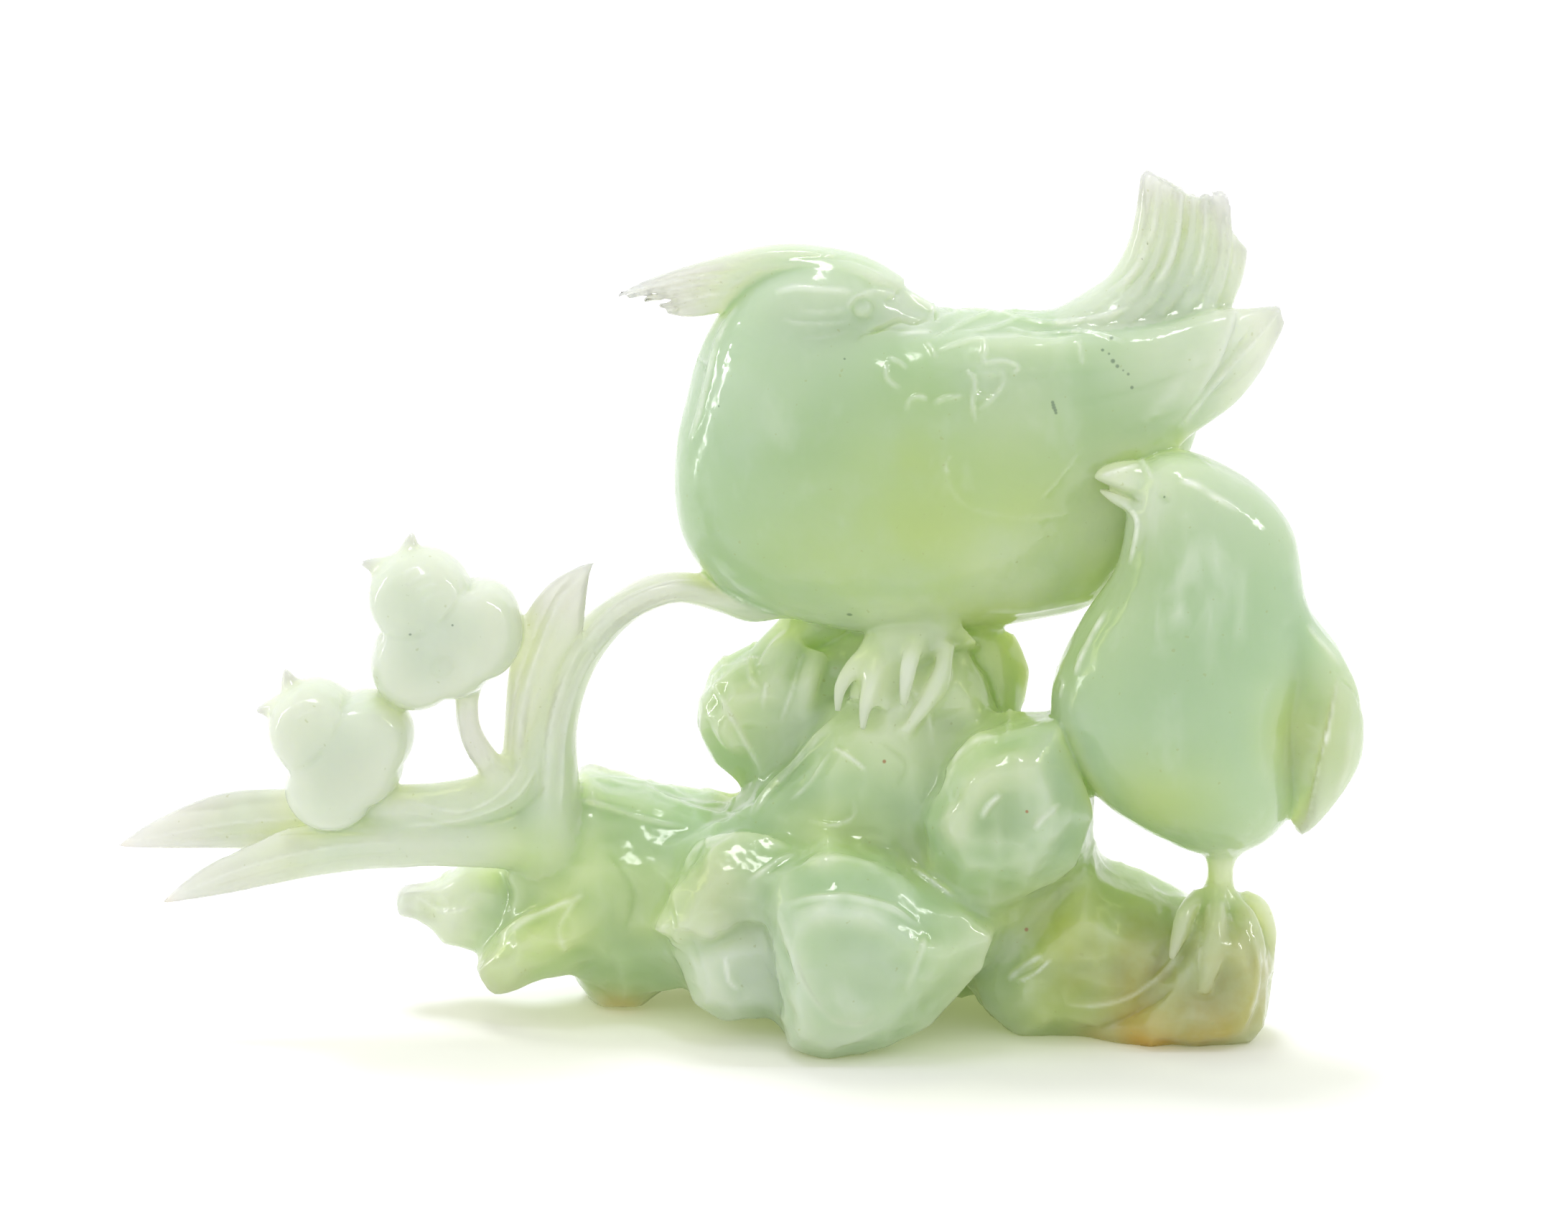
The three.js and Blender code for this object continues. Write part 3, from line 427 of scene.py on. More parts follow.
def rocks():
    """Boulders with soft facets: the ones in the picture, and plainer ones behind that carry them."""
    # Outline in x and z, y, reach to the front and back, share of the faces, lean of the front
    visible = [
        ([[4.6, 24.3], [6, 28.4], [13.4, 33.6], [22.4, 31.9], [33.8, 22.9], [42, 20.2], [40.1, 14.9],
          [31.5, 5], [24, 0.8], [13.4, -2.5], [7.1, 0.5]], -19, 13, 14, 0.62, (-3, -1)),
        ([[-14.8, 17.5], [-8.8, 27.7], [-5.4, 31.9], [-0.8, 33.5], [6, 33], [11.1, 30.9], [10, 23.6],
          [4.9, 20.3], [-8.3, 15.9]], -12, 10, 14, 0.6, (0, -1)),
        ([[-11.2, 13.4], [-8.3, 15.6], [-2, 18.4], [4.9, 20.5], [8.9, 16], [8.9, 4.1], [-2.6, 2],
          [-8, 5]], -10, 9, 14),
        ([[1, 34.1], [14.9, 49.4], [20.9, 49.7], [30.1, 39.1], [25.6, 26], [11.2, 27.8],
          [3.1, 30.5]], -3, 10, 14, 0.45, (2, -3)),
        ([[18.7, 52.8], [23.3, 59.3], [30.8, 61.7], [36.5, 60.5], [40.6, 55.2], [42.4, 48.1],
          [40.7, 40.9], [29.7, 33.8], [19.3, 38.6]], 4, 12, 14),
        ([[28.3, 35.6], [33.8, 46.4], [37.8, 49.7], [42, 51.3], [51.1, 52.8], [56.7, 38], [54.7, 27.8],
          [51.1, 25.3], [38.6, 21.3], [32.8, 22.7], [28.8, 29.8]], -13, 13, 16, 0.55, (-1, 2)),
        ([[36.6, 6.9], [42.3, 16.1], [46.9, 20], [54.9, 27.7], [62.4, 23.6], [72.2, 19.2], [71.2, 11.1],
          [65.5, 2.7], [57.5, -2], [42.4, -2], [38.9, 2.7]], -5, 14, 16),
        ([[71.2, 21], [80.7, 21], [83.5, 16.8], [85.1, 11.2], [84, 4.7], [82, -1], [69.8, -3],
          [59.8, -1.9], [57.1, 0.3], [60.5, 4.7], [67.3, 13]], -12, 11, 13, 0.6, (1, 1)),
        ([[-7.6, 45], [-6.8, 49.2], [-3.9, 54.6], [1.9, 57.5], [10.1, 58.1], [17, 54.6], [18.2, 46.2],
          [3.3, 32.1], [-5.7, 40.8]], 12, 11, 11),
        ([[-26.8, 4.2], [-23.2, 12.4], [-15.6, 13.6], [-12.7, 6.3], [-15.7, -1],
          [-24.5, -1.5]], 8, 8, 12, 0.7),
        ([[-43.2, 8.1], [-39.7, 12.6], [-31.5, 19.7], [-25.5, 23.9], [-20.9, 21.9], [-22.5, 15.3],
          [-27, 8.7], [-40.3, 3.9]], -3, 7, 11, 0.5),
        ([[-38.7, 24.5], [-31.7, 29.3], [-25.6, 33.8], [-15.4, 30], [-3, 29.5], [-5.6, 19.7],
          [-8.6, 7.1], [-12.1, 4.1], [-19.1, 2], [-36.4, 13.7]], 3, 11, 14, 0.5),
        ([[-45.9, 20.8], [-42.1, 22.8], [-38.6, 21.9], [-35.4, 18.1], [-37.2, 12.6], [-41.1, 9.4],
          [-49.2, 9.5], [-50.6, 12.6]], 7, 6, 7),
        ([[-56.3, 16.9], [-55.6, 18], [-44.8, 21.2], [-41.3, 16.9], [-44.9, 12.1], [-52.3, 13.8],
          [-56.1, 14.5]], 9, 4, 4, 0.8),
        ([[-27.1, 37.4], [-24.6, 37.8], [-19, 36.3], [-12, 33.3], [-6.2, 31.2], [-15.6, 28],
          [-25.8, 32.6]], 8, 8, 9, 0.8),
        ([[-12, 33.3], [-6.2, 31.2], [1.7, 30.7], [3.1, 28], [-8.6, 27.1], [-15.6, 28]], 8, 8, 9, 0.8),
    ]
    # Middle in x and z, half sizes, y, reach to the front and back
    hidden = [
        ([14, 18], [24, 18], 8, 14, 12),
        ([2, 13], [19, 14], 17, 10, 10),
        ([34, 14], [20, 17], 15, 12, 14),
        ([23, 36], [17, 16], 15, 8, 12),
        ([43, 34], [11, 14], 5, 10, 15),
        ([60, 8], [14, 11], 8, 10, 12),
        ([23, 54], [16, 11], 14, 7, 9),
    ]
    core = [
        ellipsoid((12, 0, 22), (16, 14, 16)),
        ellipsoid((24, 0, 38), (13, 13, 14)),
        ellipsoid((38, -2, 24), (18, 14, 16)),
        ellipsoid((56, -2, 10), (18, 14, 12)),
        ellipsoid((-4, 0, 18), (16, 12, 12)),
    ]
    skins = [boulder(*row) for row in visible]
    for seed, (middle, size, *place) in enumerate(hidden, 1):
        skins.append(boulder(rough_outline(middle, size, seed), *place))
    return [(skin, ROCK, 5.0) for skin in skins + core]


# Stations of the arched stem, which its carved lines follow too
ARCH = [
    [-27, 3, 20, 5, 6], [-31.4, 1, 28.6, 6.7, 8], [-30.9, 1, 38.1, 4.8, 6.5],
    [-30.1, 1, 47.6, 3.8, 5.5], [-27.4, 2, 56.2, 3.3, 5], [-23, 3, 62.8, 3, 4.6],
    [-17, 4, 67.4, 2.6, 4.4], [-10.1, 5, 69.3, 2.4, 4.4], [-3.2, 6, 67.9, 2.8, 5], [2, 7, 67.5, 4.2, 6],
    [9, 7, 69, 4, 6],
]


def plants():
    """The long forked leaf, the upright leaf, the arched stem and the two blossom stalks."""
    upright_leaf = [
        [-33, 1, 28, 3.5, 4.5], [-35.8, -1, 37.4, 2.8, 3.5], [-35.7, -1, 46.9, 2.3, 3],
        [-33.4, -1, 55.7, 4, 2.8], [-30.4, -2, 63.5, 4.9, 2.4], [-28, -3, 69.3, 3.6, 1.8],
        [-25.1, -4, 73.7, 1.3, 1], [-23.1, -4, 75.3, 0, 0],
    ]
    long_leaf = [
        [-22, 3, 27, 3, 4], [-33.3, 0, 31.2, 6.5, 6], [-45.4, 0, 31.5, 6, 5], [-59.2, 0, 31.7, 5.8, 4],
        [-73.2, 1, 31.9, 5.3, 3.2], [-83.1, 2, 31.5, 4.6, 2.6], [-92.5, 3, 29.4, 2.8, 1.9],
        [-101.6, 4, 26.6, 0, 0],
    ]
    fork_leaf = [
        [-24, 2, 27, 3, 4], [-36.1, -2, 29.9, 5.1, 6], [-49.9, -3, 30.2, 4.8, 5],
        [-64.8, -4, 29, 4.4, 4], [-76.2, -6, 26.6, 3.6, 3], [-85.3, -7, 23.7, 2.4, 2],
        [-93.5, -8, 20.1, 0, 0],
    ]
    upper_stalk = [
        [-35, -2, 36, 2, 2.6], [-38.2, -4, 39.9, 2.3, 2.6], [-41, -4, 43.4, 2, 2.3],
        [-43.3, -4, 47.8, 1.8, 2.2], [-43.8, -4, 52.3, 1.8, 2.2], [-43.3, -4, 56.4, 2.1, 2.6],
        [-43, -4.5, 61, 2, 2.5],
    ]
    low_stalk = [
        [-63, -4, 36, 1.5, 2.5], [-56.1, -4, 35.8, 3, 4], [-47.4, -4, 35.5, 3.9, 4],
        [-39.4, -3, 37.3, 3.9, 4], [-34.3, -1, 42.1, 3, 4], [-32, 0, 47, 2, 3],
    ]
    paths = (upright_leaf, long_leaf, fork_leaf, ARCH, upper_stalk, low_stalk)
    return [(loft(stations, 60, 28), PLANT, 1.6) for stations in paths]


def lobed_pillow(middle, y, lobes, depth, sides=120, rings=28):
    """A pillow with a lobed outline in the picture plane. The outline is the farthest edge of any of the
    ellipses [x, z, half width, half height] seen from the middle. Its reach falls off towards the front
    and the back as a power of the sine of the latitude, which leaves broad faces and round rims, and the
    lobes fade towards the middle of the faces."""
    angle = 2 * np.pi * np.arange(sides) / sides
    ray = np.stack([np.cos(angle), np.sin(angle)], -1)
    reach = np.zeros(sides)
    for x, z, wide, high in lobes:
        scale = 1 / np.array([wide, high])
        offset = (np.asarray(middle) - np.array([x, z])) * scale
        step = ray * scale
        a, b, c = (step**2).sum(1), step @ offset, offset @ offset - 1
        root = b * b - a * c
        far = np.where(root > 0, (-b + np.sqrt(np.maximum(root, 0))) / a, 0)
        reach = np.maximum(reach, far)
    round_reach = np.mean([np.roll(reach, k) for k in range(-9, 10)], axis=0)
    latitude = np.pi * np.linspace(0.04, 0.96, rings + 1)
    part = np.sin(latitude)[:, None] ** 0.3
    own = np.clip((part - 0.7) / 0.25, 0, 1)
    out = part * (own * reach + (1 - own) * round_reach)
    skin = np.stack(
        [
            middle[0] + out * ray[:, 0],
            y - depth * np.cos(latitude)[:, None] + 0 * out,
            middle[1] + out * ray[:, 1],
        ],
        -1,
    )
    return closed_grid(skin)


def blossom(middle, lobes, sepals):
    """A blossom of broad lobes with two pointed sepals."""
    forms = [(lobed_pillow(middle, BLOSSOM_Y, lobes, BLOSSOM_DEPTH), BLOSSOM, 1.0)]
    for sepal in sepals:
        stations = [[x, BLOSSOM_Y, z, wide, deep] for (x, z), (wide, deep) in zip(sepal, SEPAL_SIZES)]
        forms.append((loft(stations, 20, 16), BLOSSOM, 1.2))
    return forms


def blossoms():
    """The upper and the lower blossom."""
    return blossom(
        (-48.5, 64.5),
        [[-51, 70.3, 8.2, 7.5], [-51.9, 59.3, 7.1, 7.5], [-40.8, 64.8, 6.2, 7.8], [-46, 60.9, 7.1, 7.1]],
        [
            [[-52.2, 72.1], [-52.5, 77.2], [-52.1, 80.2]],
            [[-53.3, 73.2], [-57, 74.7], [-60.2, 75.4]],
        ],
    ) + blossom(
        (-64.5, 45),
        [[-68.2, 49, 7.2, 7.4], [-65.7, 39, 7.2, 6.9], [-59.3, 47.6, 7.2, 6.9], [-62.8, 42.8, 8.9, 7.1]],
        [
            [[-69.6, 52.1], [-71.7, 55.4], [-72.6, 58.2]],
            [[-70.2, 51.9], [-74.1, 51.9], [-77.3, 51.3]],
        ],
    )


class Field:
    """Signed distances to the skin on an even grid, below zero inside, with the label of the nearest form."""

    def __init__(self, low, high, cell, reach=3.6):
        """An empty grid over the box from low to high, with a few cells to spare."""
        self.cell = cell
        self.reach = max(3, int(round(reach / cell)))  # cells on each side that hold a true distance
        self.low = np.floor(np.asarray(low) / cell).astype(int) - 4
        shape = np.ceil(np.asarray(high) / cell).astype(int) + 5 - self.low
        self.distance = np.full(shape, self.reach * cell, np.float32)
        self.label = np.zeros(shape, np.uint8)
        self.steps = vdb.createLinearTransform(voxelSize=cell)

    def join(self, skin, label, fillet):
        """Joins one closed skin to the grid with a rounded fillet."""
        points, triangles = skin
        grid = vdb.FloatGrid.createLevelSetFromPolygons(
            points.astype(np.float32),
            triangles=triangles.astype(np.int32),
            transform=self.steps,
            halfWidth=self.reach,
        )
        low, high = (np.array(corner) for corner in grid.evalActiveVoxelBoundingBox())
        low = np.maximum(low, self.low)
        high = np.minimum(high, self.low + self.distance.shape - 1)
        block = np.zeros(high - low + 1, np.float32)
        grid.copyToArray(block, ijk=tuple(int(v) for v in low))
        window = tuple(slice(a, b) for a, b in zip(low - self.low, high - self.low + 1))
        self.mix(block, window, fillet, label)

    def mix(self, block, window, fillet, label):
        """Takes the lesser of two distances, and where they differ by less than the fillet, a little less."""
        own = self.distance[window]
        nearer = block < own
        if np.isscalar(label):
            self.label[window][nearer] = label
        else:
            self.label[window][nearer] = label[window][nearer]
        share = np.clip(0.5 + 0.5 * (own - block) / fillet, 0, 1)
        self.distance[window] = own + (block - own) * share - fillet * share * (1 - share)

    def heights(self):
        """The height of each layer of the grid."""
        return (np.arange(self.distance.shape[2]) + self.low[2]) * self.cell

    def skin(self):
        """Points and quads of the skin at distance zero."""
        grid = vdb.FloatGrid(self.reach * self.cell)
        grid.copyFromArray(self.distance, ijk=tuple(int(v) for v in self.low))
        grid.transform = self.steps
        points, quads = grid.convertToQuads(isovalue=0.0)
        return np.asarray(points, float), np.asarray(quads, int)


def blurred(values, spread):
    """Values smoothed along each axis with a bell of the given spread in cells."""
    reach = max(1, int(round(3 * spread)))
    offsets = np.arange(-reach, reach + 1)
    weights = np.exp(-0.5 * (offsets / spread) ** 2)
    weights /= weights.sum()
    for axis in range(3):
        out = np.zeros_like(values)
        count = values.shape[axis]
        for offset, weight in zip(offsets, weights):
            index = np.clip(np.arange(count) + offset, 0, count - 1)
            out += np.float32(weight) * np.take(values, index, axis=axis)
        values = out
    return values


def blend_corners(values, base, part):
    """Values between a grid's corners: each of the eight corners around a place counts by how near it is
    along each axis. The grid repeats past its ends."""
    total = np.zeros(len(base))
    for corner in range(8):
        step = np.array([(corner >> k) & 1 for k in range(3)])
        weight = np.prod(np.where(step, part, 1 - part), axis=1)
        at = (base + step) % values.shape
        total += weight * values[at[:, 0], at[:, 1], at[:, 2]]
    return total


def sample_at(values, place):
    """Values of a grid at places given in its own steps, by straight blending."""
    place = np.clip(place, 0, np.array(values.shape) - 1.001)
    base = place.astype(int)
    return blend_corners(values, base, place - base)


def value_noise(points, size, seed):
    """Smooth noise from -1 to 1 with features of the given size, from a seeded lattice of numbers."""
    lattice = np.random.default_rng(seed).uniform(-1, 1, (NOISE_SIDE, NOISE_SIDE, NOISE_SIDE))
    place = np.asarray(points) / size
    base = np.floor(place).astype(int)
    part = place - base
    return blend_corners(lattice, base, part * part * (3 - 2 * part))


def soft_group(low, high, cell, forms, soften, reach):
    """Forms joined on a grid of their own at twice the step, softened by a bell of this spread in mm, and
    brought to the fine grid by straight blending along each axis."""
    rough = Field(low, high, 2 * cell, reach)
    for skin, label, fillet in forms:
        rough.join(skin, label, fillet)
    rough.distance = blurred(rough.distance, soften / (2 * cell))
    fine = Field(low, high, cell)
    for axis in range(3):
        count = fine.distance.shape[axis]
        place = (np.arange(count) + fine.low[axis]) / 2 - rough.low[axis]
        place = np.clip(place, 0, rough.distance.shape[axis] - 1.001)
        base = place.astype(int)
        shape = [1, 1, 1]
        shape[axis] = count
        part = (place - base).astype(np.float32).reshape(shape)
        lower, upper = (np.take(rough.distance, base + k, axis=axis) for k in (0, 1))
        rough.distance = lower + (upper - lower) * part
        rough.label = np.take(rough.label, np.round(place).astype(int), axis=axis)
    fine.distance = np.clip(rough.distance, -fine.reach * cell, fine.reach * cell)
    fine.label = rough.label
    return fine


def carved_field(cell):
    """The whole carving as one grid: the rocks and the birds' bodies are softened first, as a wheel
    leaves broad surfaces, then the finer forms are joined to them."""
    low = CAD_BOX_MM[0] - CENTRING
    high = CAD_BOX_MM[1] - CENTRING
    stone = soft_group(low, high, cell, rocks(), 0.6, 6.0)
    whole = tuple(slice(None) for _ in range(3))
    for forms, soften, fillet in ((large_bird(), 1.8, 1.5), (small_bird(), 0.8, 1.0)):
        group = soft_group(low, high, cell, forms, soften, 5.0)
        stone.mix(group.distance, whole, fillet, group.label)
    for group in (plants, blossoms, large_wings, tail, crest, beaks, legs):
        for skin, label, fillet in group():
            stone.join(skin, label, fillet)
    stone.distance = np.maximum(stone.distance, -stone.heights()[None, None].astype(np.float32))
    return stone


def picture_place(points):
    """Where points in mm show in the picture, in mm to the right of and above its middle, at the scale
    of the aim point."""
    away = points - (VIEW_AIM - VIEW_DISTANCE * VIEW_AHEAD)
    depth = away @ VIEW_AHEAD
    return np.stack([away[:, 0], away @ VIEW_UP], -1) * (VIEW_DISTANCE / depth)[:, None]


def stroke_profile(place, path, width, kind):
    """The share of one stroke's height at places in the picture plane. A line is a bell of this width across
    the path. A step rises sharply on the path's left side and falls off slowly away from it, as the
    edge of a feather over the next. A line or step fades out towards its ends, and a ring doesn't."""
    line = spline(path, np.linspace(0, 1, 8 * (len(path) - 1) + 1))
    margin = 4 * width if kind == "step" else 1.3 * width
    near = np.all((place > line.min(0) - margin) & (place < line.max(0) + margin), axis=1)
    index = np.nonzero(near)[0]
    share = np.zeros(len(place))
    if not len(index):
        return share
    spot = place[index]
    best = np.full(len(index), 1e9)
    along = np.zeros(len(index))
    side = np.zeros(len(index))
    starts, ends = line[:-1], line[1:]
    for k, (a, b) in enumerate(zip(starts, ends)):
        span = b - a
        t = np.clip((spot - a) @ span / max(span @ span, 1e-9), 0, 1)
        gap = spot - (a + t[:, None] * span)
        distance = np.hypot(gap[:, 0], gap[:, 1])
        closer = distance < best
        best = np.where(closer, distance, best)
        along = np.where(closer, (k + t) / len(starts), along)
        side = np.where(closer, span[0] * gap[:, 1] - span[1] * gap[:, 0], side)
    if kind == "step":
        signed = np.where(side > 0, best, -best)
        rise = 1 + np.exp(-np.clip(signed / STEP_RISE, -30, 30))
        profile = np.exp(-np.maximum(signed, 0) / width) / rise
    else:
        profile = np.exp(-((best / (0.5 * width)) ** 2))
    if kind != "ring":
        profile = profile * np.clip(np.minimum(along, 1 - along) / END_FADE, 0, 1) ** 0.7
    share[index] = profile
    return share


BIRD = (LARGE, CREST, TAIL, WING)
COMB = (CREST, TAIL)
YOUNG = (SMALL,)
STONE = (ROCK,)
GREEN = (PLANT,)
PETAL = (BLOSSOM,)

Stroke = namedtuple("Stroke", "parts path width height kind veil")


def ring(middle, size):
    """A closed round path in eight steps, in pixels of the photo."""
    turns = [k * math.pi / 4 for k in range(9)]
    return [(middle[0] + size[0] * math.cos(turn), middle[1] + size[1] * math.sin(turn)) for turn in turns]


# The large bird's head. Each row here and in the tables below is a path in pixels of the photo, the width
# and height in mm, the kind, which is a line if it isn't named, and how white the stroke shows: a whitish
# veil that is mostly a painted highlight along the carved line
HEAD_STROKES = [
    ([(997, 433), (1010, 413), (1030, 393), (1050, 380), (1097, 373), (1150, 373), (1190, 380),
      (1230, 390), (1255, 403)], 2.6, 0.55, "step"),
    ([(1090, 360), (1150, 358), (1200, 368), (1240, 388)], 0.9, -0.25),
    # Painted highlights: the whitish lines under the cap and down the left of the neck
    ([(1078, 407), (1110, 400), (1150, 403), (1195, 405)], 1.8, 0.4, "line", 0.35),
    ([(1028, 425), (1008, 455), (993, 495), (984, 535), (974, 575), (960, 617)], 1.3, 0.6, "line", 0.6),
    (ring((1203, 430), (15, 14)), 0.9, -0.35, "ring"),
    ([(1199, 431), (1207, 429)], 1.4, 0.35, "ring"),
    ([(1296, 441), (1272, 447), (1254, 445), (1230, 455), (1205, 466)], 0.8, -0.8),
    ([(1290, 466), (1257, 459), (1223, 457), (1203, 466), (1190, 481)], 1, -0.35),
    ([(1253, 402), (1246, 412), (1232, 420)], 0.9, -0.5),
    ([(1260, 404), (1280, 416), (1300, 429), (1297, 441)], 0.9, 0.5, "line", 0.35),
    ([(1304, 432), (1303, 446)], 0.9, -0.7),
    ([(1300, 463), (1275, 462), (1250, 466)], 1.5, 0.35, "line", 0.6),
    ([(1256, 418), (1236, 406), (1213, 405), (1190, 413), (1180, 427)], 1.5, 0.35, "line", 0.15),
    ([(1188, 444), (1160, 450), (1120, 450), (1085, 444)], 0.9, 0.2, "line", 0.25),
    ([(1180, 428), (1150, 434), (1112, 433)], 0.8, 0.15, "line", 0.2),
    ([(1185, 460), (1150, 470), (1115, 470)], 0.9, 0.15, "line", 0.1),
    ([(970, 500), (978, 507), (981, 516)], 1, -0.4),
]

# Between the crest's strands and along them, paths only
CREST_CUTS = [
    [(1045, 377), (950, 384), (880, 399), (850, 411)],
    [(1035, 384), (950, 394), (885, 409), (858, 420)],
    [(1027, 392), (960, 403), (900, 418), (868, 430)],
    [(1018, 401), (960, 412), (905, 427), (883, 436)],
    [(1007, 413), (965, 421), (930, 433)],
]
CREST_RIDGES = [
    [(1040, 381), (950, 389), (883, 404), (856, 415)],
    [(1030, 389), (955, 399), (893, 414)],
    [(1010, 407), (962, 417), (915, 431)],
]

# The large bird's wings, back and belly
BACK_STROKES = [
    ([(1700, 433), (1650, 440), (1600, 450), (1530, 458), (1490, 468), (1450, 475), (1420, 468),
      (1375, 470), (1340, 462), (1300, 468), (1265, 470), (1245, 478)], 4, 0.5, "step"),
    ([(1236, 498), (1250, 503), (1264, 513)], 0.68, 0.44, "line", 0.2),
    ([(1237, 504), (1233, 520), (1240, 533), (1254, 541)], 0.74, 0.5, "line", 0.2),
    ([(1290, 478), (1300, 489), (1305, 500)], 0.56, 0.39, "line", 0.17),
    ([(1302, 490), (1332, 480), (1366, 474), (1373, 484), (1370, 500),
      (1377, 511)], 0.62, 0.44, "line", 0.15),
    ([(1378, 520), (1378, 535), (1371, 552)], 3.6, -0.5, "line", 0.22),
    ([(1395, 512), (1398, 530), (1385, 552), (1362, 572)], 0.7, 0.39, "line", 0.17),
    ([(1345, 514), (1357, 530), (1355, 560), (1359, 590)], 0.62, 0.55, "line", 0.23),
    ([(1262, 572), (1268, 556), (1284, 552), (1290, 560)], 0.68, 0.44, "line", 0.23),
    ([(1300, 562), (1318, 555), (1342, 550)], 0.74, 0.44, "line", 0.23),
    ([(1366, 506), (1398, 502), (1418, 511), (1408, 521)], 0.62, 0.39, "line", 0.17),
    ([(1300, 478), (1322, 460), (1355, 444), (1392, 431)], 0.91, 0.55, "line", 0.26),
    ([(1300, 447), (1345, 430), (1390, 432), (1420, 442), (1470, 449), (1540, 438),
      (1590, 420)], 1.05, 0.45, "line", 0.48),
    ([(1400, 455), (1440, 465), (1500, 461), (1545, 470), (1568, 479)], 0.91, 0.4, "line", 0.44),
    ([(1340, 463), (1385, 455), (1420, 440)], 0.98, 0.4, "line", 0.4),
    ([(1310, 437), (1350, 425), (1400, 424), (1450, 419), (1500, 414)], 1.3, -0.4),
    ([(1500, 474), (1506, 490), (1507, 508)], 0.62, 0.3, "line", 0.24),
    ([(1630, 600), (1665, 555), (1695, 505), (1713, 460), (1719, 430)], 4, 0.7, "step"),
    ([(1782, 430), (1750, 472), (1700, 527), (1660, 575), (1640, 600)], 1.1, 0.5, "line", 0.25),
    ([(1750, 440), (1735, 470), (1700, 515), (1660, 560)], 1.2, -0.35),
    ([(1791, 447), (1770, 492), (1735, 542), (1690, 590)], 0.9, 0.4, "line", 0.3),
    ([(1310, 640), (1340, 700), (1420, 720), (1510, 715)], 1.6, 0.15, "line", 0.06),
    ([(1512, 620), (1472, 670), (1450, 697)], 1, 0.28, "line", 0.07),
    ([(1680, 470), (1640, 540), (1590, 590)], 3, 0.3, "line", 0.2),
    ([(1326, 632), (1317, 648), (1322, 661)], 0.6, 0.3, "line", 0.3),
    ([(985, 790), (1010, 820), (1050, 845), (1085, 855)], 1.2, 0.4, "line", 0.4),
    ([(1370, 852), (1430, 850), (1490, 840), (1530, 832)], 1.4, 0.35, "line", 0.4),
]

# The tail's edges in pixels of the photo, and where its carved lines lie between them, as shares of the way
# from the left edge to the right one
TAIL_LEFT = [(1462, 424), (1510, 410), (1550, 375), (1575, 325), (1584, 285), (1588, 245)]
TAIL_RIGHT = [(1712, 432), (1726, 400), (1732, 360), (1730, 325), (1727, 300), (1725, 282)]
TAIL_CUTS = (0.12, 0.24, 0.36, 0.48, 0.6, 0.72, 0.86)
TAIL_RIDGES = (0.18, 0.42, 0.66, 0.93)

# The small bird's strongest veils, along its back, its head and the left edge of its belly, are painted
# highlights
SMALL_BIRD_STROKES = [
    ([(1808, 792), (1800, 752), (1775, 710), (1740, 679), (1700, 656), (1650, 641),
      (1605, 633)], 4, 0.4, "step"),
    ([(1642, 668), (1665, 675), (1695, 693), (1728, 712)], 1.9, 0.45, "line", 0.75),
    ([(1560, 697), (1578, 713), (1584, 730), (1580, 760), (1573, 787)], 1.3, 0.5, "line", 0.8),
    ([(1545, 843), (1520, 885), (1503, 922), (1498, 941)], 1.4, 0.5, "line", 0.8),
    ([(1868, 932), (1857, 990), (1843, 1050), (1831, 1110), (1820, 1166)], 4.5, 0.9, "step"),
    ([(1864, 940), (1853, 1000), (1839, 1060), (1827, 1115), (1817, 1160)], 0.9, 0.35, "line", 0.35),
    ([(1890, 1000), (1882, 1060), (1866, 1110), (1846, 1148)], 3, 0.45, "step"),
    ([(1857, 985), (1846, 1040)], 1.4, 0.3, "line", 0.8),
    ([(1820, 868), (1832, 884), (1850, 905), (1868, 928)], 1.2, 0.4, "line", 0.4),
    ([(1866, 945), (1885, 963), (1901, 997)], 1.1, -0.5),
    ([(1882, 975), (1877, 1050), (1858, 1110), (1838, 1152)], 2, 0.25, "line", 0.1),
    ([(1522, 674), (1546, 681), (1570, 690), (1592, 703)], 0.9, -0.6),
    ([(1530, 664), (1560, 655), (1588, 646)], 1.4, 0.3, "line", 0.5),
    ([(1588, 638), (1596, 650), (1604, 668)], 1.2, 0.35, "line", 0.3),
    ([(1618, 690), (1624, 694)], 1.3, -0.4, "ring"),
    ([(1764, 1095), (1757, 1040), (1758, 985), (1775, 945)], 7, 0.35, "step"),
    ([(1475, 975), (1480, 950), (1472, 940)], 1.1, 0.3, "line", 0.5),
    ([(1790, 1135), (1797, 1142), (1808, 1150)], 1, 0.3, "line", 0.4),
    ([(1668, 735), (1668, 790), (1650, 835)], 5, 0, "line", 0.3),
    ([(1648, 700), (1655, 760), (1640, 820), (1645, 870)], 2.4, 0.06, "line", 0.25),
    ([(1690, 730), (1694, 800), (1682, 880), (1688, 940)], 2.2, 0.06, "line", 0.22),
    ([(1620, 800), (1612, 870), (1625, 930)], 2, 0.05, "line", 0.2),
    ([(1722, 760), (1730, 840), (1722, 900)], 2.4, 0.06, "line", 0.2),
    ([(1845, 985), (1832, 1050), (1818, 1105)], 2.4, 0, "line", 0.25),
    ([(1888, 1005), (1880, 1060), (1862, 1110)], 1.6, 0.2, "line", 0.2),
    ([(1640, 845), (1650, 875)], 5, 0, "line", 0.3),
    ([(1700, 760), (1705, 820), (1695, 870)], 4, 0, "line", 0.15),
]

# Two painted highlights on the large bird's wing: whitish sheens with no relief
PAINTED_HIGHLIGHTS = [
    ([(1290, 510), (1340, 505), (1400, 515)], 6, 0, "line", 0.1),
    ([(1640, 420), (1680, 425), (1700, 440)], 5, 0, "line", 0.3),
]
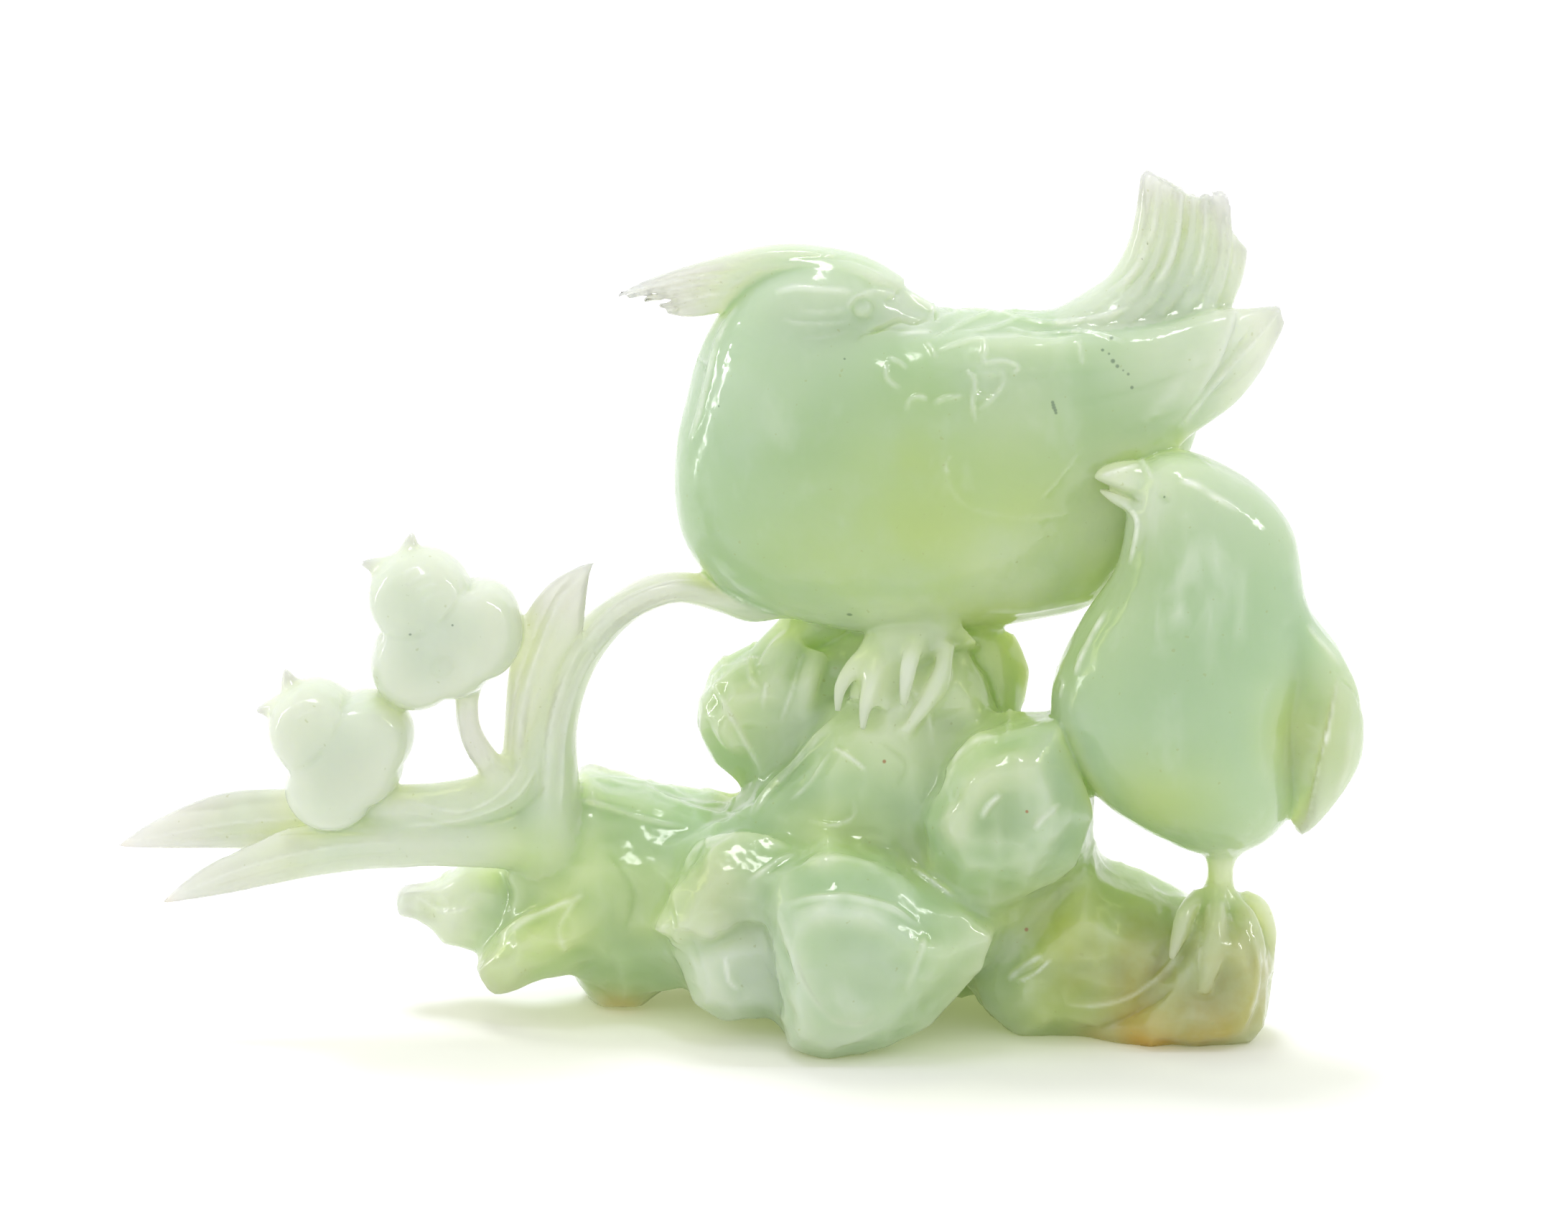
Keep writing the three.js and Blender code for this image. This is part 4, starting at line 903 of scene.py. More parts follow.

# Most veils on the rocks are painted highlights along their ridges and facets
ROCK_STROKES = [
    ([(1098, 868), (1082, 905), (1068, 950), (1062, 990)], 1.3, 0.5, "line", 0.35),
    ([(1120, 880), (1112, 930), (1098, 975), (1085, 1010)], 1.1, 0.4, "line", 0.3),
    ([(1072, 875), (1050, 905), (1045, 940), (1056, 960)], 1.2, 0.4, "line", 0.35),
    ([(975, 960), (990, 1010), (1030, 1060)], 5, 0.5, "step"),
    ([(1240, 905), (1262, 950), (1290, 985), (1300, 1040)], 1.4, 0.45, "line", 0.25),
    ([(1380, 930), (1400, 960), (1412, 1000)], 1.2, 0.5, "line", 0.5),
    ([(1055, 1290), (1062, 1330), (1080, 1370)], 4, 0.6, "step"),
    ([(900, 1200), (930, 1230), (940, 1290), (920, 1340)], 4, 0.6, "step"),
    ([(700, 1310), (760, 1330), (800, 1320)], 4, 0.5, "step"),
    ([(1640, 1290), (1620, 1340), (1600, 1400)], 5, 0.5, "step"),
    ([(1090, 1262), (1140, 1249), (1190, 1250), (1240, 1266), (1283, 1290)], 1.8, 0.75, "line", 0.3),
    ([(1085, 1262), (1092, 1292), (1100, 1322), (1112, 1355), (1132, 1392), (1160, 1422), (1200, 1428),
      (1225, 1412)], 1.8, 0.6, "line", 0.2),
    # Painted reflections: two broad whitish sheens with no relief, on the front boulder's upper face and
    # lower middle
    ([(1120, 1270), (1180, 1262), (1240, 1285)], 5, 0, "line", 0.35),
    ([(1150, 1375), (1185, 1400), (1215, 1395)], 5, 0, "line", 0.35),
    ([(1292, 1300), (1280, 1340), (1262, 1385)], 1.6, 0.5, "line", 0.15),
    ([(1120, 1205), (1150, 1195), (1200, 1200), (1240, 1215)], 2, 0.5, "line", 0.3),
    ([(1165, 1003), (1120, 1050), (1080, 1095), (1045, 1137)], 1.5, 0.9, "line", 0.4),
    ([(1158, 1040), (1180, 1052), (1206, 1072)], 1.3, 0.6, "line", 0.7),
    ([(1155, 1045), (1130, 1085), (1100, 1115)], 1.2, 0.4, "line", 0.4),
    ([(1125, 1142), (1160, 1150), (1190, 1135), (1185, 1110)], 1.3, 0.35, "line", 0.3),
    ([(953, 1218), (963, 1192), (985, 1171), (1035, 1166), (1100, 1180)], 1.8, 0.75, "line", 0.5),
    ([(1040, 1230), (1080, 1200), (1110, 1190)], 1.5, 0.5, "line", 0.4),
    ([(805, 1077), (880, 1092), (960, 1120), (1046, 1138)], 1.6, 0.6, "line", 0.3),
    ([(760, 1120), (820, 1115), (900, 1140), (960, 1150)], 1.8, 0.5, "line", 0.2),
    ([(688, 1317), (735, 1280), (815, 1245)], 1.8, 0.85, "line", 0.5),
    ([(810, 1240), (780, 1290), (790, 1330)], 1.6, 0.4, "line", 0.2),
    ([(1403, 1366), (1425, 1345), (1452, 1330)], 1.6, 0.6, "line", 0.9),
    ([(1412, 1368), (1440, 1356), (1465, 1335)], 1.3, 0.5, "line", 0.7),
    ([(1480, 1402), (1530, 1400), (1580, 1385), (1630, 1345), (1655, 1305)], 1.6, 0.6, "line", 0.25),
    ([(1490, 1440), (1540, 1430), (1600, 1400), (1640, 1370)], 1.8, -0.5),
    ([(1322, 1082), (1333, 1052), (1362, 1030), (1392, 1024)], 1.7, 0.6, "line", 0.7),
    ([(1366, 1142), (1377, 1121), (1396, 1105)], 1.8, 0.5, "line", 0.6),
    ([(1440, 1157), (1455, 1137), (1477, 1118)], 1.7, 0.5, "line", 0.6),
    ([(1270, 1207), (1298, 1226), (1330, 1250)], 1.3, 0.6, "line", 0.7),
    ([(1520, 1130), (1522, 1165), (1508, 1200)], 1.3, 0.4, "line", 0.5),
    ([(1225, 1030), (1260, 1060), (1250, 1100)], 1.8, -0.4),
    ([(990, 905), (1000, 960), (1035, 1030), (1060, 1075)], 1.6, 0.5, "line", 0.3),
    ([(1040, 880), (1060, 870), (1100, 880)], 1.5, 0.4, "line", 0.5),
    ([(1010, 1330), (1015, 1365), (1030, 1380)], 1.4, 0.4, "line", 0.6),
    ([(960, 1300), (975, 1345), (985, 1390)], 1.8, -0.4),
    ([(850, 1190), (880, 1240), (870, 1300)], 2, -0.5),
    ([(575, 1245), (620, 1270), (660, 1262)], 1.4, 0.4, "line", 0.3),
    ([(1680, 1300), (1690, 1340), (1688, 1390)], 1.3, 0.5, "line", 0.5),
    ([(1745, 1300), (1755, 1340), (1750, 1390), (1735, 1430)], 1.3, 0.5, "line", 0.4),
]

# Along the arched stem and the upright leaf: the offset to the left of the middle line in mm, the height and
# the whitish veil, partly a painted highlight
ARCH_LINES = ((1.6, -0.4, 0), (0.4, 0.3, 0.25), (-0.9, -0.35, 0), (-2, 0.3, 0.3))
LEAF_LINES = ((1.1, -0.35, 0), (-0.2, 0.35, 0.3), (-1.4, -0.3, 0))
ARCH_LINE_START = [-31.2, 1, 33]
LEAF_MIDDLE = [
    (-35.8, -1, 37.4), (-35.7, -1, 46.9), (-34.2, -1, 55.7), (-31.4, -2, 63.5), (-28.6, -3, 69.6),
    (-25.1, -4, 73.7),
]

LEAF_STROKES = [
    ([(540, 1152), (640, 1142), (715, 1112), (752, 1060)], 1.4, 0.4, "line", 0.3),
    ([(560, 1112), (640, 1130), (700, 1102), (732, 1052)], 1.4, 0.4, "line", 0.3),
    ([(560, 1135), (640, 1150), (720, 1130), (770, 1080)], 1.3, -0.4),
    ([(180, 1172), (300, 1150), (400, 1140), (530, 1138)], 1.3, 0.35, "line", 0.3),
    ([(200, 1180), (300, 1165), (420, 1158), (540, 1160)], 1.2, -0.35),
    ([(230, 1255), (330, 1212), (450, 1182), (560, 1172)], 1.3, 0.35, "line", 0.25),
    ([(260, 1250), (350, 1222), (460, 1198), (600, 1185)], 1.2, -0.3),
    ([(640, 975), (646, 1030), (664, 1068)], 1, 0.3, "line", 0.3),
]

BLOSSOM_STROKES = [
    ([(648, 812), (632, 845), (608, 872)], 1.3, -0.35),
    ([(528, 880), (560, 888), (595, 880)], 1.3, -0.35),
    ([(478, 962), (474, 1000), (458, 1030)], 1.3, -0.35),
    ([(402, 1072), (430, 1062), (455, 1040)], 1.3, -0.35),
]

# The two ends of each petal vein, and how far its middle rises over them, in pixels of the photo
PETAL_VEINS = (
    ((556, 803), (590, 789)), ((562, 816), (602, 798)), ((572, 828), (612, 811)), ((584, 840), (620, 824)),
    ((400, 990), (432, 975)), ((408, 1003), (440, 988)),
)
VEIN_RISE = 3


def on_picture(path):
    """Points of the photo, in pixels, as places in mm to the right of and above its middle."""
    middle_x, middle_y = PHOTO_SIZE[0] / 2, PHOTO_SIZE[1] / 2
    return [
        (round((x - middle_x) / PIXELS_PER_MM, 1), round((middle_y - y) / PIXELS_PER_MM, 1)) for x, y in path
    ]


def stroke(parts, path, width, height, kind="line", veil=0.0):
    """A stroke along places on the picture. As drawn they came out too coarse, so a line of 0.9 to 2 mm is
    cut to 0.58 of its width, half a millimetre at least, and 0.85 of its height, and a step of 2.6 mm or
    more to 0.62 of its width."""
    if kind == "line" and 0.9 <= width <= 2.0 and height:
        width, height = round(max(0.5, 0.58 * width), 2), round(0.85 * height, 2)
    elif kind == "step" and width >= 2.6:
        width = round(0.62 * width, 1)
    return Stroke(parts, path, width, height, kind, veil)


def drawn(parts, rows):
    """The strokes of a table of photo points."""
    return [stroke(parts, on_picture(path), *rest) for path, *rest in rows]


def tail_path(share):
    """A line up the tail, at a share of the way from its left edge to its right one."""
    pairs = list(zip(TAIL_LEFT, TAIL_RIGHT))[1:]
    return [(a[0] + (b[0] - a[0]) * share, a[1] + (b[1] - a[1]) * share) for a, b in pairs]


def beside(middle, offsets, width):
    """Lines along a stem, each moved off its middle line as that shows in the picture, square to it."""
    line = picture_place(np.array(middle, float))
    along = np.gradient(line, axis=0)
    left = np.stack([-along[:, 1], along[:, 0]], 1) / np.hypot(*along.T)[:, None]
    strokes = []
    for offset, height, veil in offsets:
        path = [(round(x, 1), round(z, 1)) for x, z in (line + left * offset).tolist()]
        strokes.append(stroke(GREEN, path, width, height, "line", veil))
    return strokes


def all_strokes():
    """Every stroke of the carving: first the drawn ones of each part, and among them the tail's and the
    stems' lines, which follow their edges."""
    strokes = drawn(BIRD, HEAD_STROKES)
    strokes += drawn(COMB, [(path, 0.8, -0.55) for path in CREST_CUTS])
    strokes += drawn(COMB, [(path, 0.8, 0.25, "line", 0.5) for path in CREST_RIDGES])
    strokes += drawn(BIRD, BACK_STROKES)
    cuts = ((0.9, -0.35), (1.1, -0.5))  # width and height, by turns
    strokes += drawn(COMB, [(tail_path(share), *cuts[k % 2]) for k, share in enumerate(TAIL_CUTS)])
    strokes += drawn(COMB, [(tail_path(share), 1.3, 0.35, "line", 0.45) for share in TAIL_RIDGES])
    strokes += drawn(YOUNG, SMALL_BIRD_STROKES) + drawn(BIRD, PAINTED_HIGHLIGHTS) + drawn(STONE, ROCK_STROKES)
    strokes += beside([ARCH_LINE_START] + [station[:3] for station in ARCH[2:9]], ARCH_LINES, 1.2)
    strokes += beside(LEAF_MIDDLE, LEAF_LINES, 1.1)
    strokes += drawn(GREEN, LEAF_STROKES) + drawn(PETAL, BLOSSOM_STROKES)
    for (x0, y0), (x1, y1) in PETAL_VEINS:
        path = [(x0, y0), ((x0 + x1) / 2, (y0 + y1) / 2 - VEIN_RISE), (x1, y1)]
        strokes += drawn(PETAL, [(path, 0.8, 0.16, "line", 0.2)])
    return strokes + drawn(PETAL, [(ring((617, 930), (14, 13)), 0.9, -0.2, "ring")])


STROKES = all_strokes()


def both_sides(points, normals, label):
    """Where each point shows in the picture, and how squarely it faces it, for the near side, and for the
    far side as its mirror image in the middle plane of its bird. Facing is three times the cosine of the
    angle to the view, and a tenth, kept between 0 and 1."""
    middle = np.where(label == SMALL, SMALL_BIRD_Y, np.where(np.isin(label, BIRD), LARGE_BIRD_Y, 0.0))
    turned, across = points.copy(), normals.copy()
    turned[:, 1] = 2 * middle - points[:, 1]
    across[:, 1] = -normals[:, 1]
    for spots, facing in ((points, normals), (turned, across)):
        yield picture_place(spots), np.clip((facing @ -VIEW_AHEAD) * 3 + 0.1, 0, 1)


def carve(points, normals, label, what):
    """The sum of all strokes at each point, by their height or by their whitish veil, which is mostly a
    painted highlight. A veil is narrower: the stroke's profile to the power 1.5."""
    total = np.zeros(len(points))
    power = 1.5 if what == "veil" else 1
    for place, facing in both_sides(points, normals, label):
        for cut in STROKES:
            strength = getattr(cut, what)
            if not strength:
                continue
            index = np.nonzero(np.isin(label, cut.parts) & (facing > 0))[0]
            if len(index):
                profile = stroke_profile(place[index], cut.path, cut.width, cut.kind)
                total[index] += strength * facing[index] * profile**power
    return total


def mesh_from(name, points, faces):
    """A mesh of these points and faces of one size."""
    mesh = bpy.data.meshes.new(name)
    corners = faces.shape[1]
    mesh.vertices.add(len(points))
    mesh.vertices.foreach_set("co", points.astype(np.float32).ravel())
    mesh.loops.add(faces.size)
    mesh.loops.foreach_set("vertex_index", faces.astype(np.int32).ravel())
    mesh.polygons.add(len(faces))
    mesh.polygons.foreach_set("loop_start", np.arange(0, faces.size, corners, dtype=np.int32))
    mesh.update(calc_edges=True)
    mesh.validate()
    return mesh


def normals_of(mesh):
    """The unit normals of a mesh's corners."""
    out = np.empty(3 * len(mesh.vertices), np.float32)
    mesh.vertex_normals.foreach_get("vector", out)
    return out.reshape(-1, 3).astype(float)


def places_of(mesh):
    """The positions of a mesh's corners."""
    out = np.empty(3 * len(mesh.vertices), np.float32)
    mesh.vertices.foreach_get("co", out)
    return out.reshape(-1, 3).astype(float)


def labels_at(field, points, normals):
    """The label of the form nearest to each point, read a little below the skin."""
    place = np.round((points - UNDER_SKIN * normals) / field.cell - field.low).astype(int)
    place = np.clip(place, 0, np.array(field.label.shape) - 1)
    return field.label[place[:, 0], place[:, 1], place[:, 2]]


def relief(field, mesh, depth):
    """Where each corner goes along its normal, and which corners strokes have carved: slow waves of hand
    polishing everywhere, the strokes on each side, and chips on the rocks, which are 0.3 less the size of a
    noise and so meet in ridges where it crosses zero."""
    points, normals = places_of(mesh), normals_of(mesh)
    label = labels_at(field, points, normals)
    rock = (label == ROCK).astype(float)
    chips = sum(height * (0.3 - np.abs(value_noise(points, size, seed))) for height, size, seed in CHIPS)
    height, size, seed = WAVE
    shift = height * value_noise(points, size, seed) + rock * chips
    strokes = carve(points, normals, label, "height")
    return points + normals * (depth * (shift + strokes))[:, None], np.abs(strokes) > CARVED_LIMIT


def fewer_faces(mesh, limit, carved):
    """The mesh with edges collapsed where that shows least, until it has at most this many triangles. The
    carved corners have a fiftieth of the others' weight, so they keep their edges longer."""
    corners = np.empty(len(mesh.polygons), np.int32)
    mesh.polygons.foreach_get("loop_total", corners)
    triangles = int((corners - 2).sum())
    holder = bpy.data.objects.new("holder", mesh)
    bpy.context.collection.objects.link(holder)
    plain = holder.vertex_groups.new(name="plain")
    for corners_of, weight in ((~carved, 1.0), (carved, 0.02)):
        plain.add([int(k) for k in np.nonzero(corners_of)[0]], weight, "REPLACE")
    collapse = holder.modifiers.new("Collapse", "DECIMATE")
    collapse.vertex_group = "plain"
    collapse.vertex_group_factor = 3.0
    collapse.ratio = min(1.0, limit / triangles)
    collapse.use_collapse_triangulate = True
    graph = bpy.context.evaluated_depsgraph_get()
    result = bpy.data.meshes.new_from_object(holder.evaluated_get(graph))
    bpy.data.objects.remove(holder)
    bpy.data.meshes.remove(mesh)
    return result


def add_number(mesh, name, values):
    """Stores one number for each corner of the mesh, for the material to read."""
    layer = mesh.attributes.new(name, "FLOAT", "POINT")
    layer.data.foreach_set("value", np.asarray(values, np.float32))


def thickness_at(field, points, normals):
    """How much stone lies under the skin, from 0 in a thin edge to 1 deep in a body: the mean filled share
    of two soft balls, each sunk under the skin by 0.9 of its spread."""
    step = max(1, int(round(COARSE_STEP / field.cell)))
    filled = (field.distance < 0).astype(np.float32)
    trim = [size // step * step for size in filled.shape]
    filled = filled[: trim[0], : trim[1], : trim[2]]
    for axis in range(3):
        shape = list(filled.shape)
        shape[axis : axis + 1] = [shape[axis] // step, step]
        filled = filled.reshape(shape).mean(axis + 1)
    cell = step * field.cell
    total = 0
    for size in THICK_BALLS:
        soft = blurred(filled, size / cell)
        place = ((points - size * 0.9 * normals) / field.cell - field.low + 0.5) / step - 0.5
        total = total + 0.5 * sample_at(soft, place)
    return total


def nook_glow_mask_at(field, points, normals):
    """How much other stone stands close in front of the skin, from 0 on an open face to 1 in a crevice: the
    filled share of a soft ball just outside it, with 0.12 to 0.52 brought to the full range. It masks the
    painted light in hollows."""
    step = max(1, int(round(COARSE_STEP / field.cell)))
    filled = (field.distance[::step, ::step, ::step] < 0).astype(np.float32)
    soft = blurred(filled, NOOK_BALL / (step * field.cell))
    place = ((points + NOOK_AHEAD * normals) / field.cell - field.low) / step
    return np.clip((sample_at(soft, place) - 0.12) / 0.4, 0, 1)


class Nodes:
    """Short calls for building a node tree."""

    def __init__(self, tree):
        """Works on this tree."""
        self.tree = tree

    def new(self, kind, **settings):
        """A node with its settings."""
        node = self.tree.nodes.new(kind)
        for name, value in settings.items():
            setattr(node, name, value)
        return node

    def link(self, out, into):
        """Links one socket to another."""
        self.tree.links.new(out, into)

    def mix(self, share, first, second):
        """A colour between two, by a share that is a number or a socket."""
        node = self.tree.nodes.new("ShaderNodeMix")
        node.data_type = "RGBA"
        for socket, value in ((0, share), (6, first), (7, second)):
            if hasattr(value, "is_output"):
                self.link(value, node.inputs[socket])
            elif socket == 0:
                node.inputs[socket].default_value = value
            else:
                node.inputs[socket].default_value = (*value, 1)
        return node.outputs[2]

    def curve(self, value, low, high, out_low=0.0, out_high=1.0):
        """A number brought from one range to another, and kept inside it."""
        node = self.tree.nodes.new("ShaderNodeMapRange")
        node.interpolation_type = "SMOOTHSTEP"
        for socket, number in ((1, low), (2, high), (3, out_low), (4, out_high)):
            node.inputs[socket].default_value = number
        self.link(value, node.inputs[0])
        return node.outputs[0]

    def number(self, name):
        """A number that the mesh stores for each corner."""
        return self.new("ShaderNodeAttribute", attribute_name=name).outputs["Fac"]

    def noise(self, scale, detail=2.0, roughness=0.5, upright=1.0):
        """Noise in the carving's own coordinates, drawn out upright by a factor; the scale is in features
        to a metre."""
        where = self.new("ShaderNodeTexCoord").outputs["Object"]
        if upright != 1.0:
            place = self.new("ShaderNodeMapping")
            place.inputs["Scale"].default_value = (1, 1, 1 / upright)
            self.link(where, place.inputs["Vector"])
            where = place.outputs["Vector"]
        node = self.new("ShaderNodeTexNoise")
        node.inputs["Scale"].default_value = scale
        node.inputs["Detail"].default_value = detail
        node.inputs["Roughness"].default_value = roughness
        self.link(where, node.inputs["Vector"])
        return node.outputs["Fac"]

    def times(self, first, second):
        """The product of two numbers."""
        node = self.new("ShaderNodeMath", operation="MULTIPLY")
        self.link(first, node.inputs[0])
        if hasattr(second, "is_output"):
            self.link(second, node.inputs[1])
        else:
            node.inputs[1].default_value = second
        return node.outputs[0]


# Each speck is x, y, z and half size, in mm
DARK_SPECKS = [
    (56.9, -6.1, 109.8, 0.28), (57.9, -6.5, 109.3, 0.25), (58.5, -7, 108.2, 0.4),
    (59.2, -7.2, 107.4, 0.32), (60.1, -7.5, 106.8, 0.2), (60.9, -7.6, 106.2, 0.25),
    (61.5, -7.8, 104.1, 0.3), (58.3, -5, 111.6, 0.4), (59.9, 1.3, 114.3, 0.25), (49, -9.3, 102, 0.3),
    (49.1, -9.4, 101.6, 0.34), (49.2, -9.5, 101.2, 0.36), (49.4, -9.6, 100.8, 0.32),
    (49.5, -9.7, 100.4, 0.26), (17.2, -5.8, 67.2, 0.5), (66.1, -19.2, 88.8, 0.2),
    (-53.2, -13.1, 73.4, 0.22), (-45.4, -13.9, 67.2, 0.2), (-52.1, -13.7, 65.7, 0.25),
    (16.3, -9.1, 108.9, 0.2), (-3.5, -7.7, 101.1, 0.2),
]
BROWN_SPECKS = [
    (22.7, -12, 44.7, 0.32), (44.8, -26.1, 40, 0.28), (45.3, -15.5, 18.1, 0.34),
]

# Each zone is x, y, z, half size in mm, and strength
WARM_ZONES = [
    (50, -17, 14, 13, 0.9), (35, 0, 70, 22, 1), (55, 0, 80, 18, 0.8), (38, 0, 90, 16, 0.6),
    (10, 0, 12, 14, 0.2), (60, 0, 12, 20, 0.8), (70, -11, 40, 14, 0.5), (-20, 5, 18, 14, 0.6),
    (5, 10, 48, 10, 0.6), (-33, 0, 35, 10, 0.35), (-33, -8, 27, 9, 0.5), (-30, -8, 20, 13, 0.55),
    (-18, -10, 22, 10, 0.5), (-48, 0, 18, 9, 0.15), (-40, -8, 8, 10, 0.3), (31, -14, 77, 24, 0.66),
    (46, -12, 80, 20, 0.66), (18, -14, 72, 18, 0.62), (34, -8, 65, 15, 0.62), (42, -14, 92, 15, 0.5),
    (28, -15, 92, 10, 0.5), (86, -18, 52, 8, 0.7), (18, -15, 30, 8, 0.6), (66, -27, 41, 9, 0.8),
    (-18, -2, 71, 7, 0.35), (33, -26, 13, 9, 0.4),
]
# Milky zones: partly paler stone, partly painted light that lifts places the carving shades, such as the
# rocks under the large bird and its toes
MILK_AND_LIGHT_ZONES = [
    (11, -5, 118, 13, 0.6), (27, 3, 116, 9, 0.7), (81, -1, 110, 10, 0.8), (60, 2, 115, 10, 0.6),
    (75, -19, 90, 9, 0.4), (62, -18, 89, 8, 0.5), (59, -20, 71, 8, 0.2), (-50, -14, 68, 12, 0.6),
    (-66, -14, 46, 12, 0.6), (-50, -8, 31, 16, 0.3), (-34, -5, 41, 9, 0.4), (16, -31, 14, 12, 0.35),
    (-1, -19, 13, 11, 0.4), (25, -10, 56, 10, 0.5), (42, -10, 71, 10, 0.3), (31, -8, 60, 8, 0.5),
    (-50, 5, 17, 8, 0.7), (8, 1, 55, 10, 0.5), (-24, -9, 18, 8, 0.1), (70, 4, 126, 14, 0.5),
    (-12, 4, 118, 9, 0.4), (66, -8, 110, 9, 0.5), (44, -12, 103, 9, 0.35), (-3, -6, 57, 9, 0.3),
    (-1, -22, 12, 9, 0.3),
]
IVORY_ZONES = [
    (-51, 0, 20, 9, 0.85), (-58, -4, 24, 7, 0.6), (86, -1, 113, 12, 1), (76, -3, 106, 9, 0.6),
    (58, -19, 89, 6, 0.8), (84, -14, 46, 7, 0.3), (27, -2, 117, 6, 0.6), (42, -4, 116, 9, 0.55),
    (71, 4, 129, 10, 0.3),
]
ROOT_ZONES = [
    (-33, -8, 27, 11, 1), (-30, 4, 30, 9, 0.8), (-18, 6, 36, 8, 0.6), (2, -4, 70, 5, 0.8),
]
# Painted light: zones brightened towards the glow tint, mostly under the large bird and between the rocks
PAINTED_GLOW_ZONES = [
    (24, -10, 56, 14, 0.95), (0, -5, 53, 10, 0.5), (12, -6, 58, 9, 0.9), (32, -12, 66, 9, 0.5),
    (-14, -14, 24, 9, 0.5), (40, -16, 24, 9, 0.6), (43, -10, 60, 8, 0.4), (12, -14, 34, 7, 0.5),
    (-28, -6, 28, 10, 0.6), (76, -12, 27, 5, 0.6), (-30, -10, 18, 11, 0.4), (-44, -4, 14, 10, 0.45),
    (-8, -4, 48, 8, 0.5), (42, -12, 75, 9, 0.35), (66, -10, 110, 9, 0.3),
]
# Painted light: whitish veil laid over places the carving shades, under the large bird, beside the small
# bird's beak and on the low front rock, and a few whitish patches
PAINTED_LIGHT_VEIL_ZONES = [
    (26, -12, 57, 13, 0.36), (-1, -20, 12, 9, 0.5), (59, -19, 88, 5, 0.5), (13, -8, 62, 8, 0.2),
    (42, -12, 72, 10, 0.18), (76, -15, 31, 5, 0.3), (-50, 0, 20, 8, 0.2), (84, -2, 112, 9, 0.25),
    (58, -8, 80, 9, 0.35), (46, -9, 69, 8, 0.3),
]
# The olive stain at the right foot, and painted shade: weaker zones that darken a few lit tops, such as the
# left front rock and the small bird's wing
OLIVE_AND_SHADE_ZONES = [
    (76, -20, 7, 13, 1.6), (66, -18, 10, 11, 1.1), (55, -17, 12, 12, 0.5), (76, -11, 24, 8, 0.3),
    (-4, -20, 25, 8, 0.33), (92, -14, 50, 9, 0.2), (40, -24, 38, 8, 0.12),
]
RUST_ZONES = [
    (-101, 4, 26.6, 2, 0.6), (-93, -8, 20.3, 2, 0.7), (64, -20, 0, 6, 1.4), (58, -16, -1, 5, 0.8),
    (-20, 0, 0, 5, 0.7), (74, -22, 1, 6, 0.6),
]


def specks(n, spots):
    """The share of dark inclusions at each place, from small balls (x, y, z, half size) in mm."""
    where = n.new("ShaderNodeTexCoord").outputs["Object"]
    total = None
    for x, y, z, size in spots:
        gap = n.new("ShaderNodeVectorMath", operation="DISTANCE")
        n.link(where, gap.inputs[0])
        gap.inputs[1].default_value = tuple((np.array([x, y, z]) + CENTRING) * MM)
        ball = n.curve(gap.outputs["Value"], 0.5 * size * MM, 1.3 * size * MM, 1.0, 0.0)
        if total is None:
            total = ball
        else:
            both = n.new("ShaderNodeMath", operation="MAXIMUM")
            n.link(total, both.inputs[0])
            n.link(ball, both.inputs[1])
            total = both.outputs[0]
    return total


def jade_material(tints):
    """Polished translucent jade: whitish where it is thin, mint green in the round, yellow green in the
    thick middle, olive at one foot, with soft clouds, faint flecks and a wavy hand polish, and with painted
    highlights, painted light in hollows and shaded places, and painted shade on a few lit tops."""
    material = bpy.data.materials.new("jade")
    material.use_nodes = True
    tree = material.node_tree
    tree.nodes.clear()
    n = Nodes(tree)
    output = n.new("ShaderNodeOutputMaterial")
    shader = n.new("ShaderNodeBsdfPrincipled")
    let_light_through(n, shader, output)
    n.link(jade_colour(n, tints), shader.inputs["Base Color"])
    n.link(n.curve(n.noise(60.0), 0.3, 0.7, 0.07, 0.17), shader.inputs["Roughness"])
    shader.inputs["IOR"].default_value = 1.6
    shader.inputs["Subsurface Weight"].default_value = 1.0
    shader.inputs["Subsurface Radius"].default_value = (1.0, 1.0, 0.75)
    shader.inputs["Subsurface Scale"].default_value = 0.014
    clear = n.curve(n.number("thick"), 0.30, 0.66, 0.45, 0.14)
    n.link(clear, shader.inputs["Transmission Weight"])
    inside = n.new("ShaderNodeVolumeAbsorption")
    inside.inputs["Color"].default_value = (0.72, 0.85, 0.55, 1)
    inside.inputs["Density"].default_value = 20.0
    n.link(inside.outputs[0], output.inputs["Volume"])
    bump = n.new("ShaderNodeBump")
    bump.inputs["Strength"].default_value = 0.35
    bump.inputs["Distance"].default_value = 0.0012
    n.link(n.noise(170.0, detail=2.5, roughness=0.45), bump.inputs["Height"])
    n.link(bump.outputs[0], shader.inputs["Normal"])
    return material


def let_light_through(n, shader, output):
    """Stone lets part of the light through to what lies in its shadow, tinted on the way: a shadow ray
    sees the surface as 0.7 transparent."""
    passing = n.new("ShaderNodeBsdfTransparent")
    passing.inputs["Color"].default_value = (0.92, 0.90, 0.70, 1)
    through = n.new("ShaderNodeMixShader")
    n.link(n.times(n.new("ShaderNodeLightPath").outputs["Is Shadow Ray"], 0.70), through.inputs[0])
    n.link(shader.outputs[0], through.inputs[1])
    n.link(passing.outputs[0], through.inputs[2])
    n.link(through.outputs[0], output.inputs["Surface"])


